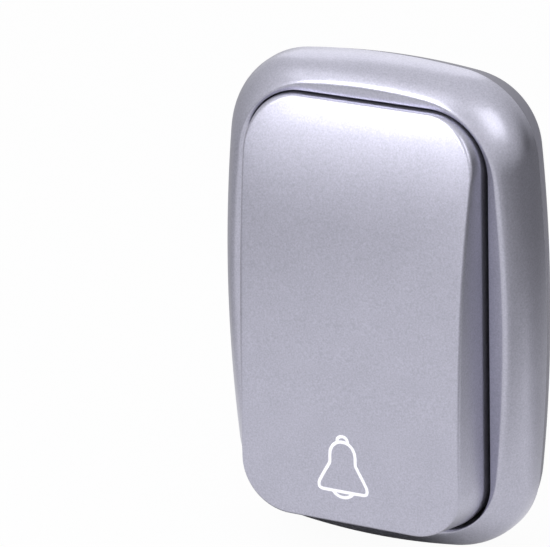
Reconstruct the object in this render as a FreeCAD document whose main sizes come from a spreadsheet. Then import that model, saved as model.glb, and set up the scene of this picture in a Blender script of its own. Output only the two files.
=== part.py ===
import FreeCAD, Part
import math
import os

import Sketcher
from FreeCAD import Placement, Rotation, Vector

# Wireless doorbell button that makes its own power: a rocker over a small generator.
# The wall is the plane Y = 0, the front faces -Y and +Z is up. All sizes are in mm.
# A level is a distance out from the wall, so a level of 5 lies at Y = -5.

os.makedirs("parts", exist_ok=True)
doc = FreeCAD.newDocument("doorbell_button")
sheet = doc.addObject("Spreadsheet::Sheet", "Sizes")

SIZES = [
    # how far joined features run into each other, and how far cuts run past a face
    ("weld", 0.2), ("overcut", 0.5), ("pilot_spare", 0.3),
    # outline of the case and its rim
    ("case_half_width", 29.1), ("case_half_height", 42.8), ("case_corner", 15.0),
    ("case_side_bow", 290.0), ("case_end_bow", 120.0),
    ("rim_round", 9.4), ("rim_sweep", 51.0),
    ("crest_side_bow", 200.0), ("crest_end_bow", 84.0), ("crest_corner", 15.5),
    ("rim_side", 6.8), ("rim_end", 5.45), ("well_corner", 10.2), ("well_wall", 1.4),
    ("frame_wall", 2.0), ("rim_roof", 4.2),
    # stack from the wall to the front
    ("foam_thickness", 1.0), ("plate_thickness", 2.4), ("plate_clearance", 0.2),
    ("wall_gap", 0.6), ("cover_floor", 1.4), ("cover_depth", 3.0), ("screw_room", 1.4),
    ("board_thickness", 0.8), ("generator_floor", 0.6), ("generator_height", 5.2),
    ("deck_clearance", 0.6), ("deck_thickness", 1.4), ("deck_sink", 1.57),
    # rocker
    ("rocker_gap", 0.7), ("rocker_rise", 0.43), ("rocker_height", 7.38),
    ("rocker_wall", 1.6), ("skirt_depth", 3.7), ("side_draft", 9.1), ("end_draft", 10.4),
    ("rocker_front_corner", 10.1), ("lower_bow", 384.0), ("upper_bow", 176.0),
    ("lower_bow_start", 25.2), ("upper_bow_start", 3.5),
    ("press_angle", 3.2), ("moat_clearance", 0.45),
    ("hinge_inset", 5.85), ("hinge_sink", 2.8), ("hinge_pin_radius", 1.0),
    ("hinge_clearance", 0.05), ("ear_radius", 2.1), ("lug_radius", 1.9),
    ("ear_inner_start", 8.2), ("ear_width", 1.4), ("lug_width", 3.2), ("lug_clearance", 0.3),
    ("pusher_half_width", 2.6), ("pusher_half_height", 1.2), ("touch_clearance", 0.15),
    ("hook_x", 10.0), ("hook_half_width", 1.8), ("hook_leg", 1.2), ("hook_gap", 1.3),
    ("hook_reach", 2.2), ("hook_toe", 1.0), ("hook_bridge", 0.6), ("hook_rest_gap", 0.15),
    ("window_clearance", 0.4),
    ("stop_x", 12.5), ("stop_z_inset", 7.5), ("stop_radius", 1.6),
    ("bumper_radius", 2.0), ("bumper_thickness", 1.0),
    # return springs
    ("spring_x", 11.5), ("spring_z_inset", 17.5), ("spring_radius", 2.4),
    ("spring_wire", 0.5), ("spring_turns", 5.0), ("spigot_clearance", 0.4),
    ("spigot_height", 1.2), ("cup_wall", 1.0), ("cup_clearance", 0.3), ("cup_depth", 1.3),
    ("spring_seat", 0.35),
    # rear cover, wall plate, seal
    ("cover_taper", 2.9), ("cover_wall", 2.2), ("cover_rim", 5.2), ("recess_corner", 15.0),
    ("plate_fit", 0.35), ("gasket_inset", 0.7), ("gasket_width", 0.7), ("gasket_depth", 0.6),
    ("catch_x", 17.0), ("catch_z", 20.0), ("catch_half_width", 3.0), ("catch_stem", 2.0),
    ("catch_toe", 2.4), ("catch_toe_thickness", 1.0), ("catch_clearance", 0.15),
    ("catch_side_clearance", 0.3), ("ledge_thickness", 1.0), ("release_spare", 0.3),
    ("foam_half_width", 12.5), ("foam_half_height", 20.0),
    ("wall_screw_half_spacing", 26.0), ("wall_screw_radius", 2.1),
    ("wall_screw_sink", 4.0), ("wall_screw_sink_depth", 1.2),
    # chassis
    ("flange_thickness", 1.4), ("flange_fit", 0.45), ("moat_width", 4.8),
    ("moat_low", 5.85), ("moat_high", 10.35), ("island_corner", 4.0), ("island_wall", 1.4),
    # screws
    ("frame_screw_inset", 1.25), ("frame_screw_z", 12.0), ("frame_screw_radius", 0.8),
    ("frame_screw_head", 1.35), ("frame_screw_head_thickness", 1.0),
    ("frame_screw_length", 4.2), ("frame_boss_half_width", 2.1), ("frame_boss_half_height", 2.4),
    ("cover_screw_inset", 2.4), ("cover_screw_z", 24.0), ("cover_screw_radius", 1.0),
    ("cover_screw_head", 1.9), ("cover_screw_head_thickness", 0.95),
    ("cover_screw_length", 3.3), ("cover_boss_radius", 2.9), ("cover_shelf", 1.2),
    ("chassis_boss_radius", 2.2), ("head_clearance", 0.3),
    ("board_screw_inset", 2.5), ("board_screw_radius", 1.0), ("board_screw_head", 1.8),
    ("board_screw_head_thickness", 0.9), ("board_screw_length", 4.0),
    ("board_post_radius", 1.8), ("board_fit", 0.3), ("screw_hole_clearance", 0.1),
    ("board_window_half_width", 3.2), ("board_window_drop", 2.8), ("board_window_edge", 0.3),
    # generator
    ("generator_half_width", 8.6), ("generator_wall", 1.0), ("radio_bay", 13.8),
    ("generator_inset", 4.2), ("slot_half_width", 3.2), ("slot_sill", 0.3),
    ("generator_fit", 0.1),
    ("yoke_half_width", 7.2), ("yoke_length", 7.0), ("yoke_thickness", 1.4),
    ("magnet_width", 2.8),
    ("armature_half_width", 2.6), ("armature_thickness", 0.8), ("armature_to_bar", 0.6),
    ("armature_tail", 2.8), ("yoke_clearance", 0.03), ("throat_clearance", 0.06),
    ("trunnion_length", 0.7), ("trunnion_clearance", 0.05),
    ("bobbin_half_width", 7.2), ("bobbin_flange", 1.2), ("yoke_gap", 2.3),
    ("bore_clearance", 0.14), ("bore_side_clearance", 0.3), ("bobbin_tube_wall", 0.4),
    ("bobbin_gap", 3.1), ("bobbin_seat", 0.2), ("winding_build", 1.05),
    ("terminal_radius", 0.3), ("terminal_inset", 1.0), ("terminal_depth", 1.0),
    # generator lever
    ("bar_inset", 5.8), ("bar_half_height", 0.8), ("lever_thickness", 2.0),
    ("lever_front_gap", 0.7), ("lever_arm_gap", 0.8), ("lever_arm_width", 1.8),
    ("lever_pin_radius", 0.6), ("lever_pin_inset", 2.7), ("lever_pin_clearance", 0.05),
    ("lever_eye", 1.6), ("bracket_width", 1.4), ("bracket_x", 5.0),
    ("leaf_thickness", 0.3), ("leaf_half_width", 2.2), ("leaf_clearance", 0.12),
    ("leaf_end_clearance", 0.6), ("leaf_play", 0.5),
    # seal over the pusher
    ("seal_thickness", 0.6), ("seal_half_width", 6.0), ("seal_half_height", 4.0),
    ("port_half_width", 4.4), ("port_half_height", 2.4), ("seal_boss_half_width", 2.4),
    ("seal_boss_half_height", 1.0),
    # parts on the board
    ("chip_x", -7.0), ("radio_inset", 8.6), ("chip_width", 4.0), ("chip_length", 5.0),
    ("chip_height", 1.4), ("chip_pin_width", 0.4), ("chip_pin_pitch", 1.27),
    ("chip_pin_length", 1.0), ("chip_pin_thickness", 0.2),
    ("crystal_x", -0.5), ("crystal_width", 3.2), ("crystal_length", 5.6),
    ("crystal_height", 2.2),
    ("capacitor_radius", 2.4), ("capacitor_length", 9.0), ("capacitor_edge", 3.0),
    ("capacitor_inset", 8.4),
    ("edge_row_inset", 2.5), ("diode_width", 1.6), ("diode_length", 2.6), ("diode_height", 1.1),
    ("diode_pitch", 4.2), ("diode_drop", 23.6),
    ("passive_width", 0.8), ("passive_length", 1.6),
    ("passive_height", 0.6), ("passive_pitch", 3.4), ("passive_rise", 12.1),
    ("antenna_radius", 1.75), ("antenna_wire", 0.45), ("antenna_pitch", 1.25),
    ("antenna_turns", 8.5), ("antenna_x", -8.5), ("antenna_inset", 3.0), ("antenna_lift", 0.3),
]

for row, (alias, amount) in enumerate(SIZES, start=1):
    sheet.set(f"A{row}", alias)
    sheet.set(f"B{row}", str(amount))
    sheet.setAlias(f"B{row}", alias)
doc.recompute()


class Size:
    """A length that knows its number and the sheet expression that gives it."""

    def __init__(self, value, text):
        self.value = value
        self.text = text

    @staticmethod
    def of(other):
        if isinstance(other, Size):
            return other
        return Size(float(other), repr(float(other)))

    def __add__(self, other):
        other = Size.of(other)
        return Size(self.value + other.value, f"({self.text} + {other.text})")

    def __sub__(self, other):
        other = Size.of(other)
        return Size(self.value - other.value, f"({self.text} - {other.text})")

    def __mul__(self, other):
        other = Size.of(other)
        return Size(self.value * other.value, f"({self.text} * {other.text})")

    def __truediv__(self, other):
        other = Size.of(other)
        return Size(self.value / other.value, f"({self.text} / {other.text})")

    def __rsub__(self, other):
        return Size.of(other) - self

    def __neg__(self):
        return Size(-self.value, f"(0 - {self.text})")

    __radd__ = __add__
    __rmul__ = __mul__


def size(alias):
    return Size(float(sheet.get(alias)), f"Sizes.{alias}")


def sine(angle):
    return Size(math.sin(math.radians(angle.value)), f"sin({angle.text} * 1 deg)")


def cosine(angle):
    return Size(math.cos(math.radians(angle.value)), f"cos({angle.text} * 1 deg)")


def tangent(angle):
    return Size(math.tan(math.radians(angle.value)), f"tan({angle.text} * 1 deg)")


def angle_of_sine(ratio):
    return Size(math.degrees(math.asin(ratio.value)), f"(asin({ratio.text}) / 1 deg)")


def bind(thing, path, amount):
    thing.setExpression(path, Size.of(amount).text)


# Levels out from the wall, each worked out from the thicknesses behind it
foam_front = size("foam_thickness")
plate_front = foam_front + size("plate_thickness")
cover_back = plate_front + size("plate_clearance")
cover_front = cover_back + size("cover_floor")
seam = cover_front + size("cover_depth")
board_back = cover_front + size("screw_room")
board_front = board_back + size("board_thickness")
generator_base = board_front + size("generator_floor")
generator_front = generator_base + size("generator_height")
generator_middle = generator_base + size("generator_height") * 0.5
deck_back = generator_front + size("deck_clearance")
deck_front = deck_back + size("deck_thickness")
facet = deck_front + size("deck_sink")
rim_start = facet - size("rim_round") * sine(size("rim_sweep"))
cavity_roof = facet - size("rim_roof")
rocker_base = facet + size("rocker_rise")
rocker_front = rocker_base + size("rocker_height")
skirt_back = rocker_base - size("skirt_depth")
hinge_level = rocker_base - size("hinge_sink")

# Outlines, each worked out from the case inwards
well_half_width = size("case_half_width") - size("rim_side")
well_half_height = size("case_half_height") - size("rim_end")
rocker_half_width = well_half_width - size("rocker_gap")
rocker_half_height = well_half_height - size("rocker_gap")
rocker_corner = size("well_corner") - size("rocker_gap")
tube_half_width = well_half_width + size("well_wall")
tube_half_height = well_half_height + size("well_wall")
tube_corner = size("well_corner") + size("well_wall")
recess_half_width = size("case_half_width") - size("cover_rim")
recess_half_height = size("case_half_height") - size("cover_rim")
island_half_width = well_half_width - size("moat_width")
island_low = size("moat_low") - well_half_height
island_high = well_half_height - size("moat_high")
inner_half_width = island_half_width - size("island_wall")
inner_low = island_low + size("island_wall")
inner_high = island_high - size("island_wall")
hinge_z = well_half_height - size("hinge_inset")

# Travel of the rocker, and the levels that it decides
press = tangent(size("press_angle"))
moat_front = skirt_back - (hinge_z + rocker_half_height) * press - size("moat_clearance")
flange_back = moat_front - size("flange_thickness")


def new_body(name):
    made = doc.addObject("PartDesign::Body", name)
    made.Label = name
    return made


def new_sketch(body, name, level, role="XZ_Plane"):
    plane = [f for f in body.Origin.OriginFeatures if f.Role == role][0]
    sketch = body.newObject("Sketcher::SketchObject", name)
    sketch.AttachmentSupport = [(plane, "")]
    sketch.MapMode = "FlatFace"
    bind(sketch, "AttachmentOffset.Base.z", level)
    return sketch


def measure(sketch, constraint, name, amount):
    """Add a constraint, name it and tie it to the sheet."""
    index = sketch.addConstraint(constraint)
    label = f"{name}_{index}"
    sketch.renameConstraint(index, label)
    bind(sketch, f"Constraints.{label}", amount)


def place(sketch, geometry, point, x, z, name):
    """Tie a point of a sketch to its distances from the origin."""
    x = Size.of(x)
    z = Size.of(z)
    measure(sketch, Sketcher.Constraint("DistanceX", -1, 1, geometry, point, x.value), name + "x", x)
    measure(sketch, Sketcher.Constraint("DistanceY", -1, 1, geometry, point, z.value), name + "z", z)


def circle(sketch, x, z, radius):
    x = Size.of(x)
    z = Size.of(z)
    radius = Size.of(radius)
    made = sketch.addGeometry(Part.Circle(Vector(x.value, z.value, 0), Vector(0, 0, 1), radius.value))
    place(sketch, made, 3, x, z, "centre")
    measure(sketch, Sketcher.Constraint("Radius", made, radius.value), "radius", radius)


def polygon(sketch, points):
    """A closed chain of straight lines through points given as pairs of sizes."""
    points = [(Size.of(x), Size.of(z)) for x, z in points]
    corners = [Vector(x.value, z.value, 0) for x, z in points]
    lines = []
    for start, end in zip(corners, corners[1:] + corners[:1]):
        lines.append(sketch.addGeometry(Part.LineSegment(start, end)))
    for line, after in zip(lines, lines[1:] + lines[:1]):
        sketch.addConstraint(Sketcher.Constraint("Coincident", line, 2, after, 1))
    for line, (x, z) in zip(lines, points):
        place(sketch, line, 1, x, z, "corner")


def rectangle(sketch, x_low, x_high, z_low, z_high):
    polygon(sketch, [(x_low, z_low), (x_high, z_low), (x_high, z_high), (x_low, z_high)])


def rounded_rectangle(sketch, half_width, z_low, z_high, corner):
    """Four straight sides with round corners, even about the Z axis."""
    w = half_width.value
    low = z_low.value
    high = z_high.value
    r = corner.value
    lines = [
        Part.LineSegment(Vector(-w + r, low, 0), Vector(w - r, low, 0)),
        Part.LineSegment(Vector(w, low + r, 0), Vector(w, high - r, 0)),
        Part.LineSegment(Vector(w - r, high, 0), Vector(-w + r, high, 0)),
        Part.LineSegment(Vector(-w, high - r, 0), Vector(-w, low + r, 0)),
    ]
    centres = [(w - r, low + r, 270), (w - r, high - r, 0), (-w + r, high - r, 90), (-w + r, low + r, 180)]
    sides = [sketch.addGeometry(line) for line in lines]
    arcs = []
    for x, z, angle in centres:
        round_edge = Part.Circle(Vector(x, z, 0), Vector(0, 0, 1), r)
        arc = Part.ArcOfCircle(round_edge, math.radians(angle), math.radians(angle + 90))
        arcs.append(sketch.addGeometry(arc))
    for index in range(4):
        after = sides[(index + 1) % 4]
        sketch.addConstraint(Sketcher.Constraint("Tangent", sides[index], 2, arcs[index], 1))
        sketch.addConstraint(Sketcher.Constraint("Tangent", arcs[index], 2, after, 1))
    sketch.addConstraint(Sketcher.Constraint("Horizontal", sides[0]))
    sketch.addConstraint(Sketcher.Constraint("Horizontal", sides[2]))
    sketch.addConstraint(Sketcher.Constraint("Vertical", sides[1]))
    sketch.addConstraint(Sketcher.Constraint("Vertical", sides[3]))
    for arc in arcs[1:]:
        sketch.addConstraint(Sketcher.Constraint("Equal", arcs[0], arc))
    measure(sketch, Sketcher.Constraint("Radius", arcs[0], r), "corner", corner)
    measure(sketch, Sketcher.Constraint("DistanceX", -1, 1, sides[1], 1, w), "right", half_width)
    measure(sketch, Sketcher.Constraint("DistanceX", sides[3], 1, -1, 1, w), "left", half_width)
    measure(sketch, Sketcher.Constraint("DistanceY", -1, 1, sides[2], 1, high), "top", z_high)
    measure(sketch, Sketcher.Constraint("DistanceY", -1, 1, sides[0], 1, low), "bottom", z_low)


class Bowed:
    """An outline of four bowed sides and four round corners."""

    def __init__(self, half_width, half_height, side_bow, end_bow, corner):
        self.half_width = half_width
        self.half_height = half_height
        self.side_bow = side_bow
        self.end_bow = end_bow
        self.corner = corner

    def inset(self, amount):
        """The same outline drawn in by an even amount."""
        return Bowed(
            self.half_width - amount,
            self.half_height - amount,
            self.side_bow - amount,
            self.end_bow - amount,
            self.corner - amount,
        )

    def corner_centre(self):
        """The centre of the corner round that meets both bows smoothly."""
        reach_side = self.side_bow.value - self.corner.value
        reach_end = self.end_bow.value - self.corner.value
        side_x = self.half_width.value - self.side_bow.value
        end_z = self.half_height.value - self.end_bow.value
        x = self.half_width.value - self.corner.value
        z = self.half_height.value - self.corner.value
        for _ in range(60):
            x = side_x + math.sqrt(reach_side ** 2 - z ** 2)
            z = end_z + math.sqrt(reach_end ** 2 - x ** 2)
        return x, z

    def draw(self, sketch):
        cx, cz = self.corner_centre()
        side_x = self.half_width.value - self.side_bow.value
        end_z = self.half_height.value - self.end_bow.value
        side_angle = math.atan2(cz, cx - side_x)
        end_angle = math.atan2(cz - end_z, cx)
        quarter = math.pi / 2
        arcs = []
        for turn, x, z, radius, start, end in (
            (0, side_x, 0, self.side_bow.value, -side_angle, side_angle),
            (0, cx, cz, self.corner.value, side_angle, end_angle),
            (0, 0, end_z, self.end_bow.value, end_angle, 2 * quarter - end_angle),
            (0, -cx, cz, self.corner.value, 2 * quarter - end_angle, 2 * quarter - side_angle),
            (2, side_x, 0, self.side_bow.value, -side_angle, side_angle),
            (2, cx, cz, self.corner.value, side_angle, end_angle),
            (2, 0, end_z, self.end_bow.value, end_angle, 2 * quarter - end_angle),
            (2, -cx, cz, self.corner.value, 2 * quarter - end_angle, 2 * quarter - side_angle),
        ):
            flip = -1 if turn else 1
            ring = Part.Circle(Vector(flip * x, flip * z, 0), Vector(0, 0, 1), radius)
            arc = Part.ArcOfCircle(ring, start + turn * quarter, end + turn * quarter)
            arcs.append(sketch.addGeometry(arc))
        for index, arc in enumerate(arcs):
            sketch.addConstraint(Sketcher.Constraint("Tangent", arc, 2, arcs[(index + 1) % 8], 1))
        for first, second in ((0, 4), (2, 6), (1, 3), (1, 5), (1, 7)):
            sketch.addConstraint(Sketcher.Constraint("Equal", arcs[first], arcs[second]))
        for arc in (arcs[0], arcs[4]):
            sketch.addConstraint(Sketcher.Constraint("PointOnObject", arc, 3, -1))
        for arc in (arcs[2], arcs[6]):
            sketch.addConstraint(Sketcher.Constraint("PointOnObject", arc, 3, -2))
        side_centre = self.half_width - self.side_bow
        end_centre = self.half_height - self.end_bow
        for arc, bow in ((arcs[0], self.side_bow), (arcs[2], self.end_bow), (arcs[1], self.corner)):
            measure(sketch, Sketcher.Constraint("Radius", arc, bow.value), "round", bow)
        for arc, kind, amount in (
            (arcs[0], "DistanceX", side_centre),
            (arcs[2], "DistanceY", end_centre),
            (arcs[4], "DistanceX", -side_centre),
            (arcs[6], "DistanceY", -end_centre),
        ):
            measure(sketch, Sketcher.Constraint(kind, -1, 1, arc, 3, amount.value), "bow", amount)


def pad(body, name, draw, level, height):
    """A solid layer that starts at a level and grows outwards from the wall."""
    sketch = new_sketch(body, name + "_sketch", level)
    draw(sketch)
    doc.recompute()
    made = body.newObject("PartDesign::Pad", name)
    made.Profile = sketch
    bind(made, "Length", height)
    doc.recompute()
    body.Tip = made
    return made


def cut(body, name, draw, level, height):
    """Remove a layer that starts at a level and runs outwards from the wall."""
    before = body.Shape.Volume
    sketch = new_sketch(body, name + "_sketch", level)
    draw(sketch)
    doc.recompute()
    made = body.newObject("PartDesign::Pocket", name)
    made.Profile = sketch
    made.Reversed = True
    bind(made, "Length", height)
    doc.recompute()
    body.Tip = made
    if body.Shape.Volume > before - 1e-3:
        raise RuntimeError(f"{name} cuts nothing")
    return made


def cross_pad(body, name, draw, x_low, x_high, cutting=False):
    """A layer along X between two places, from a sketch in Y and Z."""
    before = body.Shape.Volume if cutting else 0.0
    sketch = new_sketch(body, name + "_sketch", x_low, "YZ_Plane")
    draw(sketch)
    doc.recompute()
    made = body.newObject("PartDesign::Pocket" if cutting else "PartDesign::Pad", name)
    made.Profile = sketch
    made.Reversed = cutting
    bind(made, "Length", x_high - x_low)
    doc.recompute()
    body.Tip = made
    if cutting and body.Shape.Volume > before - 1e-3:
        raise RuntimeError(f"{name} cuts nothing")
    return made


def loft(body, name, sections):
    """A smooth solid through outlines at rising levels."""
    sketches = []
    for index, (outline, level) in enumerate(sections):
        sketch = new_sketch(body, f"{name}_{index}", level)
        outline.draw(sketch)
        sketches.append(sketch)
    doc.recompute()
    made = body.newObject("PartDesign::AdditiveLoft", name)
    made.Profile = sketches[0]
    made.Sections = sketches[1:]
    doc.recompute()
    body.Tip = made
    return made


def box(name, x_low, x_high, level_low, level_high, z_low, z_high):
    """A plain block between two places on each axis."""
    x_low, level_high, z_low = Size.of(x_low), Size.of(level_high), Size.of(z_low)
    made = doc.addObject("Part::Box", name)
    bind(made, "Length", x_high - x_low)
    bind(made, "Width", level_high - level_low)
    bind(made, "Height", z_high - z_low)
    bind(made, "Placement.Base.x", x_low)
    bind(made, "Placement.Base.y", -level_high)
    bind(made, "Placement.Base.z", z_low)
    return made


def rod(name, x, z, level_low, level_high, radius):
    """A cylinder square to the wall."""
    made = doc.addObject("Part::Cylinder", name)
    made.Placement = Placement(Vector(0, 0, 0), Rotation(Vector(1, 0, 0), 90))
    bind(made, "Radius", radius)
    bind(made, "Height", level_high - level_low)
    bind(made, "Placement.Base.x", x)
    bind(made, "Placement.Base.y", -Size.of(level_low))
    bind(made, "Placement.Base.z", z)
    return made


def bar(name, x_low, x_high, level, z, radius):
    """A cylinder along X."""
    made = doc.addObject("Part::Cylinder", name)
    made.Placement = Placement(Vector(0, 0, 0), Rotation(Vector(0, 1, 0), 90))
    bind(made, "Radius", radius)
    bind(made, "Height", x_high - x_low)
    bind(made, "Placement.Base.x", x_low)
    bind(made, "Placement.Base.y", -Size.of(level))
    bind(made, "Placement.Base.z", z)
    return made


def joined(name, pieces):
    made = doc.addObject("Part::MultiFuse", name)
    made.Shapes = pieces
    made.Label = name
    return made


def trimmed(name, base, tool):
    made = doc.addObject("Part::Cut", name)
    made.Base = base
    made.Tool = tool
    made.Label = name
    return made


def shared(name, base, tool):
    made = doc.addObject("Part::Common", name)
    made.Base = base
    made.Tool = tool
    made.Label = name
    return made


def group(name, pieces):
    """Like pieces that share a node and stay separate solids."""
    made = doc.addObject("Part::Compound", name)
    made.Links = pieces
    made.Label = name
    return made


BOTH = (-1, 1)
CORNERS = [(side, end) for side in BOTH for end in BOTH]
case_outline = Bowed(
    size("case_half_width"),
    size("case_half_height"),
    size("case_side_bow"),
    size("case_end_bow"),
    size("case_corner"),
)


def rim_section(share):
    """The outline and level at a share of the rim's sweep, from side to crest."""
    angle = size("rim_sweep") * share
    inset = size("rim_round") * (1 - cosine(angle))
    full = size("rim_round") * (1 - cosine(size("rim_sweep")))
    near_crest = inset / full
    outline = Bowed(
        size("case_half_width") - inset,
        size("case_half_height") - inset,
        size("case_side_bow") + (size("crest_side_bow") - size("case_side_bow")) * near_crest,
        size("case_end_bow") + (size("crest_end_bow") - size("case_end_bow")) * near_crest,
        size("case_corner") + (size("crest_corner") - size("case_corner")) * near_crest,
    )
    return outline, rim_start + size("rim_round") * sine(angle)


def draw_well(sketch):
    rounded_rectangle(sketch, well_half_width, -well_half_height, well_half_height, size("well_corner"))


def draw_tube(sketch):
    rounded_rectangle(sketch, tube_half_width, -tube_half_height, tube_half_height, tube_corner)


frame_screw_x = tube_half_width + size("frame_screw_inset")
cover_screw_x = well_half_width - size("cover_screw_inset")
frame_screw_spots = [(frame_screw_x * side, size("frame_screw_z") * end) for side, end in CORNERS]
cover_screw_spots = [(cover_screw_x * side, size("cover_screw_z") * end) for side, end in CORNERS]
board_screw_x = inner_half_width - size("board_screw_inset")
board_screw_zs = (inner_low + size("board_screw_inset"), inner_high - size("board_screw_inset"))
board_screw_spots = [(board_screw_x * side, z) for side in BOTH for z in board_screw_zs]


def draw_circles(spots, radius):
    def draw(sketch):
        for x, z in spots:
            circle(sketch, x, z, radius)
    return draw


def make_front_frame():
    """Rounded ring around the rocker, with a deep well wall inside it."""
    body = new_body("front_frame")
    pad(body, "frame_side", case_outline.draw, seam, rim_start - seam)
    loft(body, "frame_rim", [rim_section(share) for share in (0.0, 0.2, 0.4, 0.6, 0.8, 1.0)])
    cut(body, "frame_cavity", case_outline.inset(size("frame_wall")).draw, seam, cavity_roof - seam)
    pad(body, "frame_tube", draw_tube, moat_front, cavity_roof - moat_front + size("weld"))

    def draw_bosses(sketch):
        for x, z in frame_screw_spots:
            rectangle(
                sketch,
                x - size("frame_boss_half_width"),
                x + size("frame_boss_half_width"),
                z - size("frame_boss_half_height"),
                z + size("frame_boss_half_height"),
            )
    pad(body, "frame_bosses", draw_bosses, moat_front, cavity_roof - moat_front + size("weld"))
    cut(body, "frame_well", draw_well, seam, facet - seam + size("overcut"))
    draw_pilots = draw_circles(frame_screw_spots, size("frame_screw_radius"))
    depth = size("frame_screw_length") - size("flange_thickness") + size("pilot_spare")
    cut(body, "frame_pilots", draw_pilots, moat_front, depth)
    return body


front_frame = make_front_frame()


def make_rear_cover():
    """Tray behind the frame, with a recess for the wall plate and four hanging catches."""
    body = new_body("rear_cover")
    taper = size("cover_taper")
    height = seam - size("wall_gap")
    loft(body, "cover_side", [
        (case_outline.inset(taper), size("wall_gap")),
        (case_outline.inset(taper * 0.72), size("wall_gap") + height * 0.22),
        (case_outline.inset(taper * 0.36), size("wall_gap") + height * 0.58),
        (case_outline.inset(taper * 0.06), seam),
    ])
    cut(body, "cover_inside", case_outline.inset(size("cover_wall")).draw, cover_front, size("cover_depth"))

    def draw_recess(sketch):
        rounded_rectangle(
            sketch, recess_half_width, -recess_half_height, recess_half_height, size("recess_corner")
        )
    cut(body, "cover_recess", draw_recess, size("wall_gap"), cover_back - size("wall_gap"))
    draw_cups = draw_circles(cover_screw_spots, size("cover_boss_radius"))
    pad(body, "cover_cups", draw_cups, cover_front - size("weld"), size("cover_shelf") + size("weld"))
    sink = size("cover_screw_head") + size("head_clearance")
    cut(body, "cover_sinks", draw_circles(cover_screw_spots, sink), cover_back, size("cover_floor"))
    hole = size("cover_screw_radius") + size("screw_hole_clearance")
    draw_holes = draw_circles(cover_screw_spots, hole)
    cut(body, "cover_holes", draw_holes, cover_front, size("cover_shelf"))

    def draw_groove(sketch):
        case_outline.inset(size("gasket_inset")).draw(sketch)
        case_outline.inset(size("gasket_inset") + size("gasket_width")).draw(sketch)
    cut(body, "cover_groove", draw_groove, seam - size("gasket_depth"), size("gasket_depth"))

    half_stem = size("catch_stem") * 0.5
    toe_front = plate_front - size("ledge_thickness") - size("catch_clearance")
    toe_back = toe_front - size("catch_toe_thickness")

    def draw_stems(sketch):
        for side, end in CORNERS:
            x = size("catch_x") * side
            z = size("catch_z") * end
            half = size("catch_half_width")
            rectangle(sketch, x - half, x + half, z - half_stem, z + half_stem)
    pad(body, "cover_stems", draw_stems, toe_back, cover_back - toe_back + size("weld"))

    def draw_toes(sketch):
        for side, end in CORNERS:
            x = size("catch_x") * side
            z = size("catch_z") * end
            half = size("catch_half_width")
            rectangle(sketch, x - half, x + half, z - half_stem - size("catch_toe"), z + half_stem)
    pad(body, "cover_toes", draw_toes, toe_back, size("catch_toe_thickness"))
    return body


rear_cover = make_rear_cover()


def make_gasket():
    """Soft ring that seals the seam between rear cover and frame."""
    body = new_body("housing_gasket")
    outer = case_outline.inset(size("gasket_inset"))
    inner = case_outline.inset(size("gasket_inset") + size("gasket_width"))

    def draw(sketch):
        outer.draw(sketch)
        inner.draw(sketch)
    pad(body, "gasket_ring", draw, seam - size("gasket_depth"), size("gasket_depth"))
    return body


housing_gasket = make_gasket()
release_travel = size("catch_toe") + size("release_spare")


def make_wall_plate():
    """Flat plate that stays on the wall: four windows with ledges and two screw holes."""
    body = new_body("wall_plate")
    half_width = recess_half_width - size("plate_fit")
    high = recess_half_height - size("plate_fit")
    low = size("plate_fit") + release_travel - recess_half_height
    corner = size("recess_corner") - size("plate_fit")

    def draw_plate(sketch):
        rounded_rectangle(sketch, half_width, low, high, corner)
    pad(body, "plate_slab", draw_plate, foam_front, size("plate_thickness"))
    half_window = size("catch_half_width") + size("catch_side_clearance")
    half_stem = size("catch_stem") * 0.5
    sill = half_stem + size("catch_clearance")
    head = half_stem + release_travel + size("catch_clearance")

    def draw_windows(sketch):
        for side, end in CORNERS:
            x = size("catch_x") * side
            z = size("catch_z") * end
            rectangle(sketch, x - half_window, x + half_window, z - sill, z + head)
    cut(body, "plate_windows", draw_windows, foam_front, size("plate_thickness"))

    def draw_pockets(sketch):
        for side, end in CORNERS:
            x = size("catch_x") * side
            z = size("catch_z") * end
            foot = z - sill - size("catch_toe") - size("catch_clearance")
            rectangle(sketch, x - half_window, x + half_window, foot, z - half_stem)
    depth = size("plate_thickness") - size("ledge_thickness")
    cut(body, "plate_pockets", draw_pockets, foam_front, depth)
    screws = [(Size.of(0), size("wall_screw_half_spacing") * end) for end in BOTH]
    draw_screws = draw_circles(screws, size("wall_screw_radius"))
    cut(body, "plate_screw_holes", draw_screws, foam_front, size("plate_thickness"))
    sink_level = plate_front - size("wall_screw_sink_depth")
    draw_sinks = draw_circles(screws, size("wall_screw_sink"))
    cut(body, "plate_screw_sinks", draw_sinks, sink_level, size("wall_screw_sink_depth"))
    return body


wall_plate = make_wall_plate()
adhesive_pad = box(
    "adhesive_pad", -size("foam_half_width"), size("foam_half_width"), 0, foam_front,
    -size("foam_half_height"), size("foam_half_height"),
)

pusher_z = island_low + size("bar_inset")
spring_z = island_low + size("spring_z_inset")
stop_z = island_low + size("stop_z_inset")
stop_spots = [(size("stop_x") * side, stop_z) for side in BOTH]
spring_spots = [(size("spring_x") * side, spring_z) for side in BOTH]
ear_outer_start = size("ear_inner_start") + size("ear_width") + size("lug_width") + size("lug_clearance") * 2
ear_end = ear_outer_start + size("ear_width")
lug_start = size("ear_inner_start") + size("ear_width") + size("lug_clearance")
lug_end = lug_start + size("lug_width")
hook_z = island_low - size("hook_gap")
hook_toe_z = hook_z + size("hook_reach")
window_front = deck_front - size("hook_bridge")
hook_toe_front = window_front - size("hook_rest_gap")
hook_back = hook_toe_front - size("hook_toe")
hook_travel = (hinge_z - hook_z) * press


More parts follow.
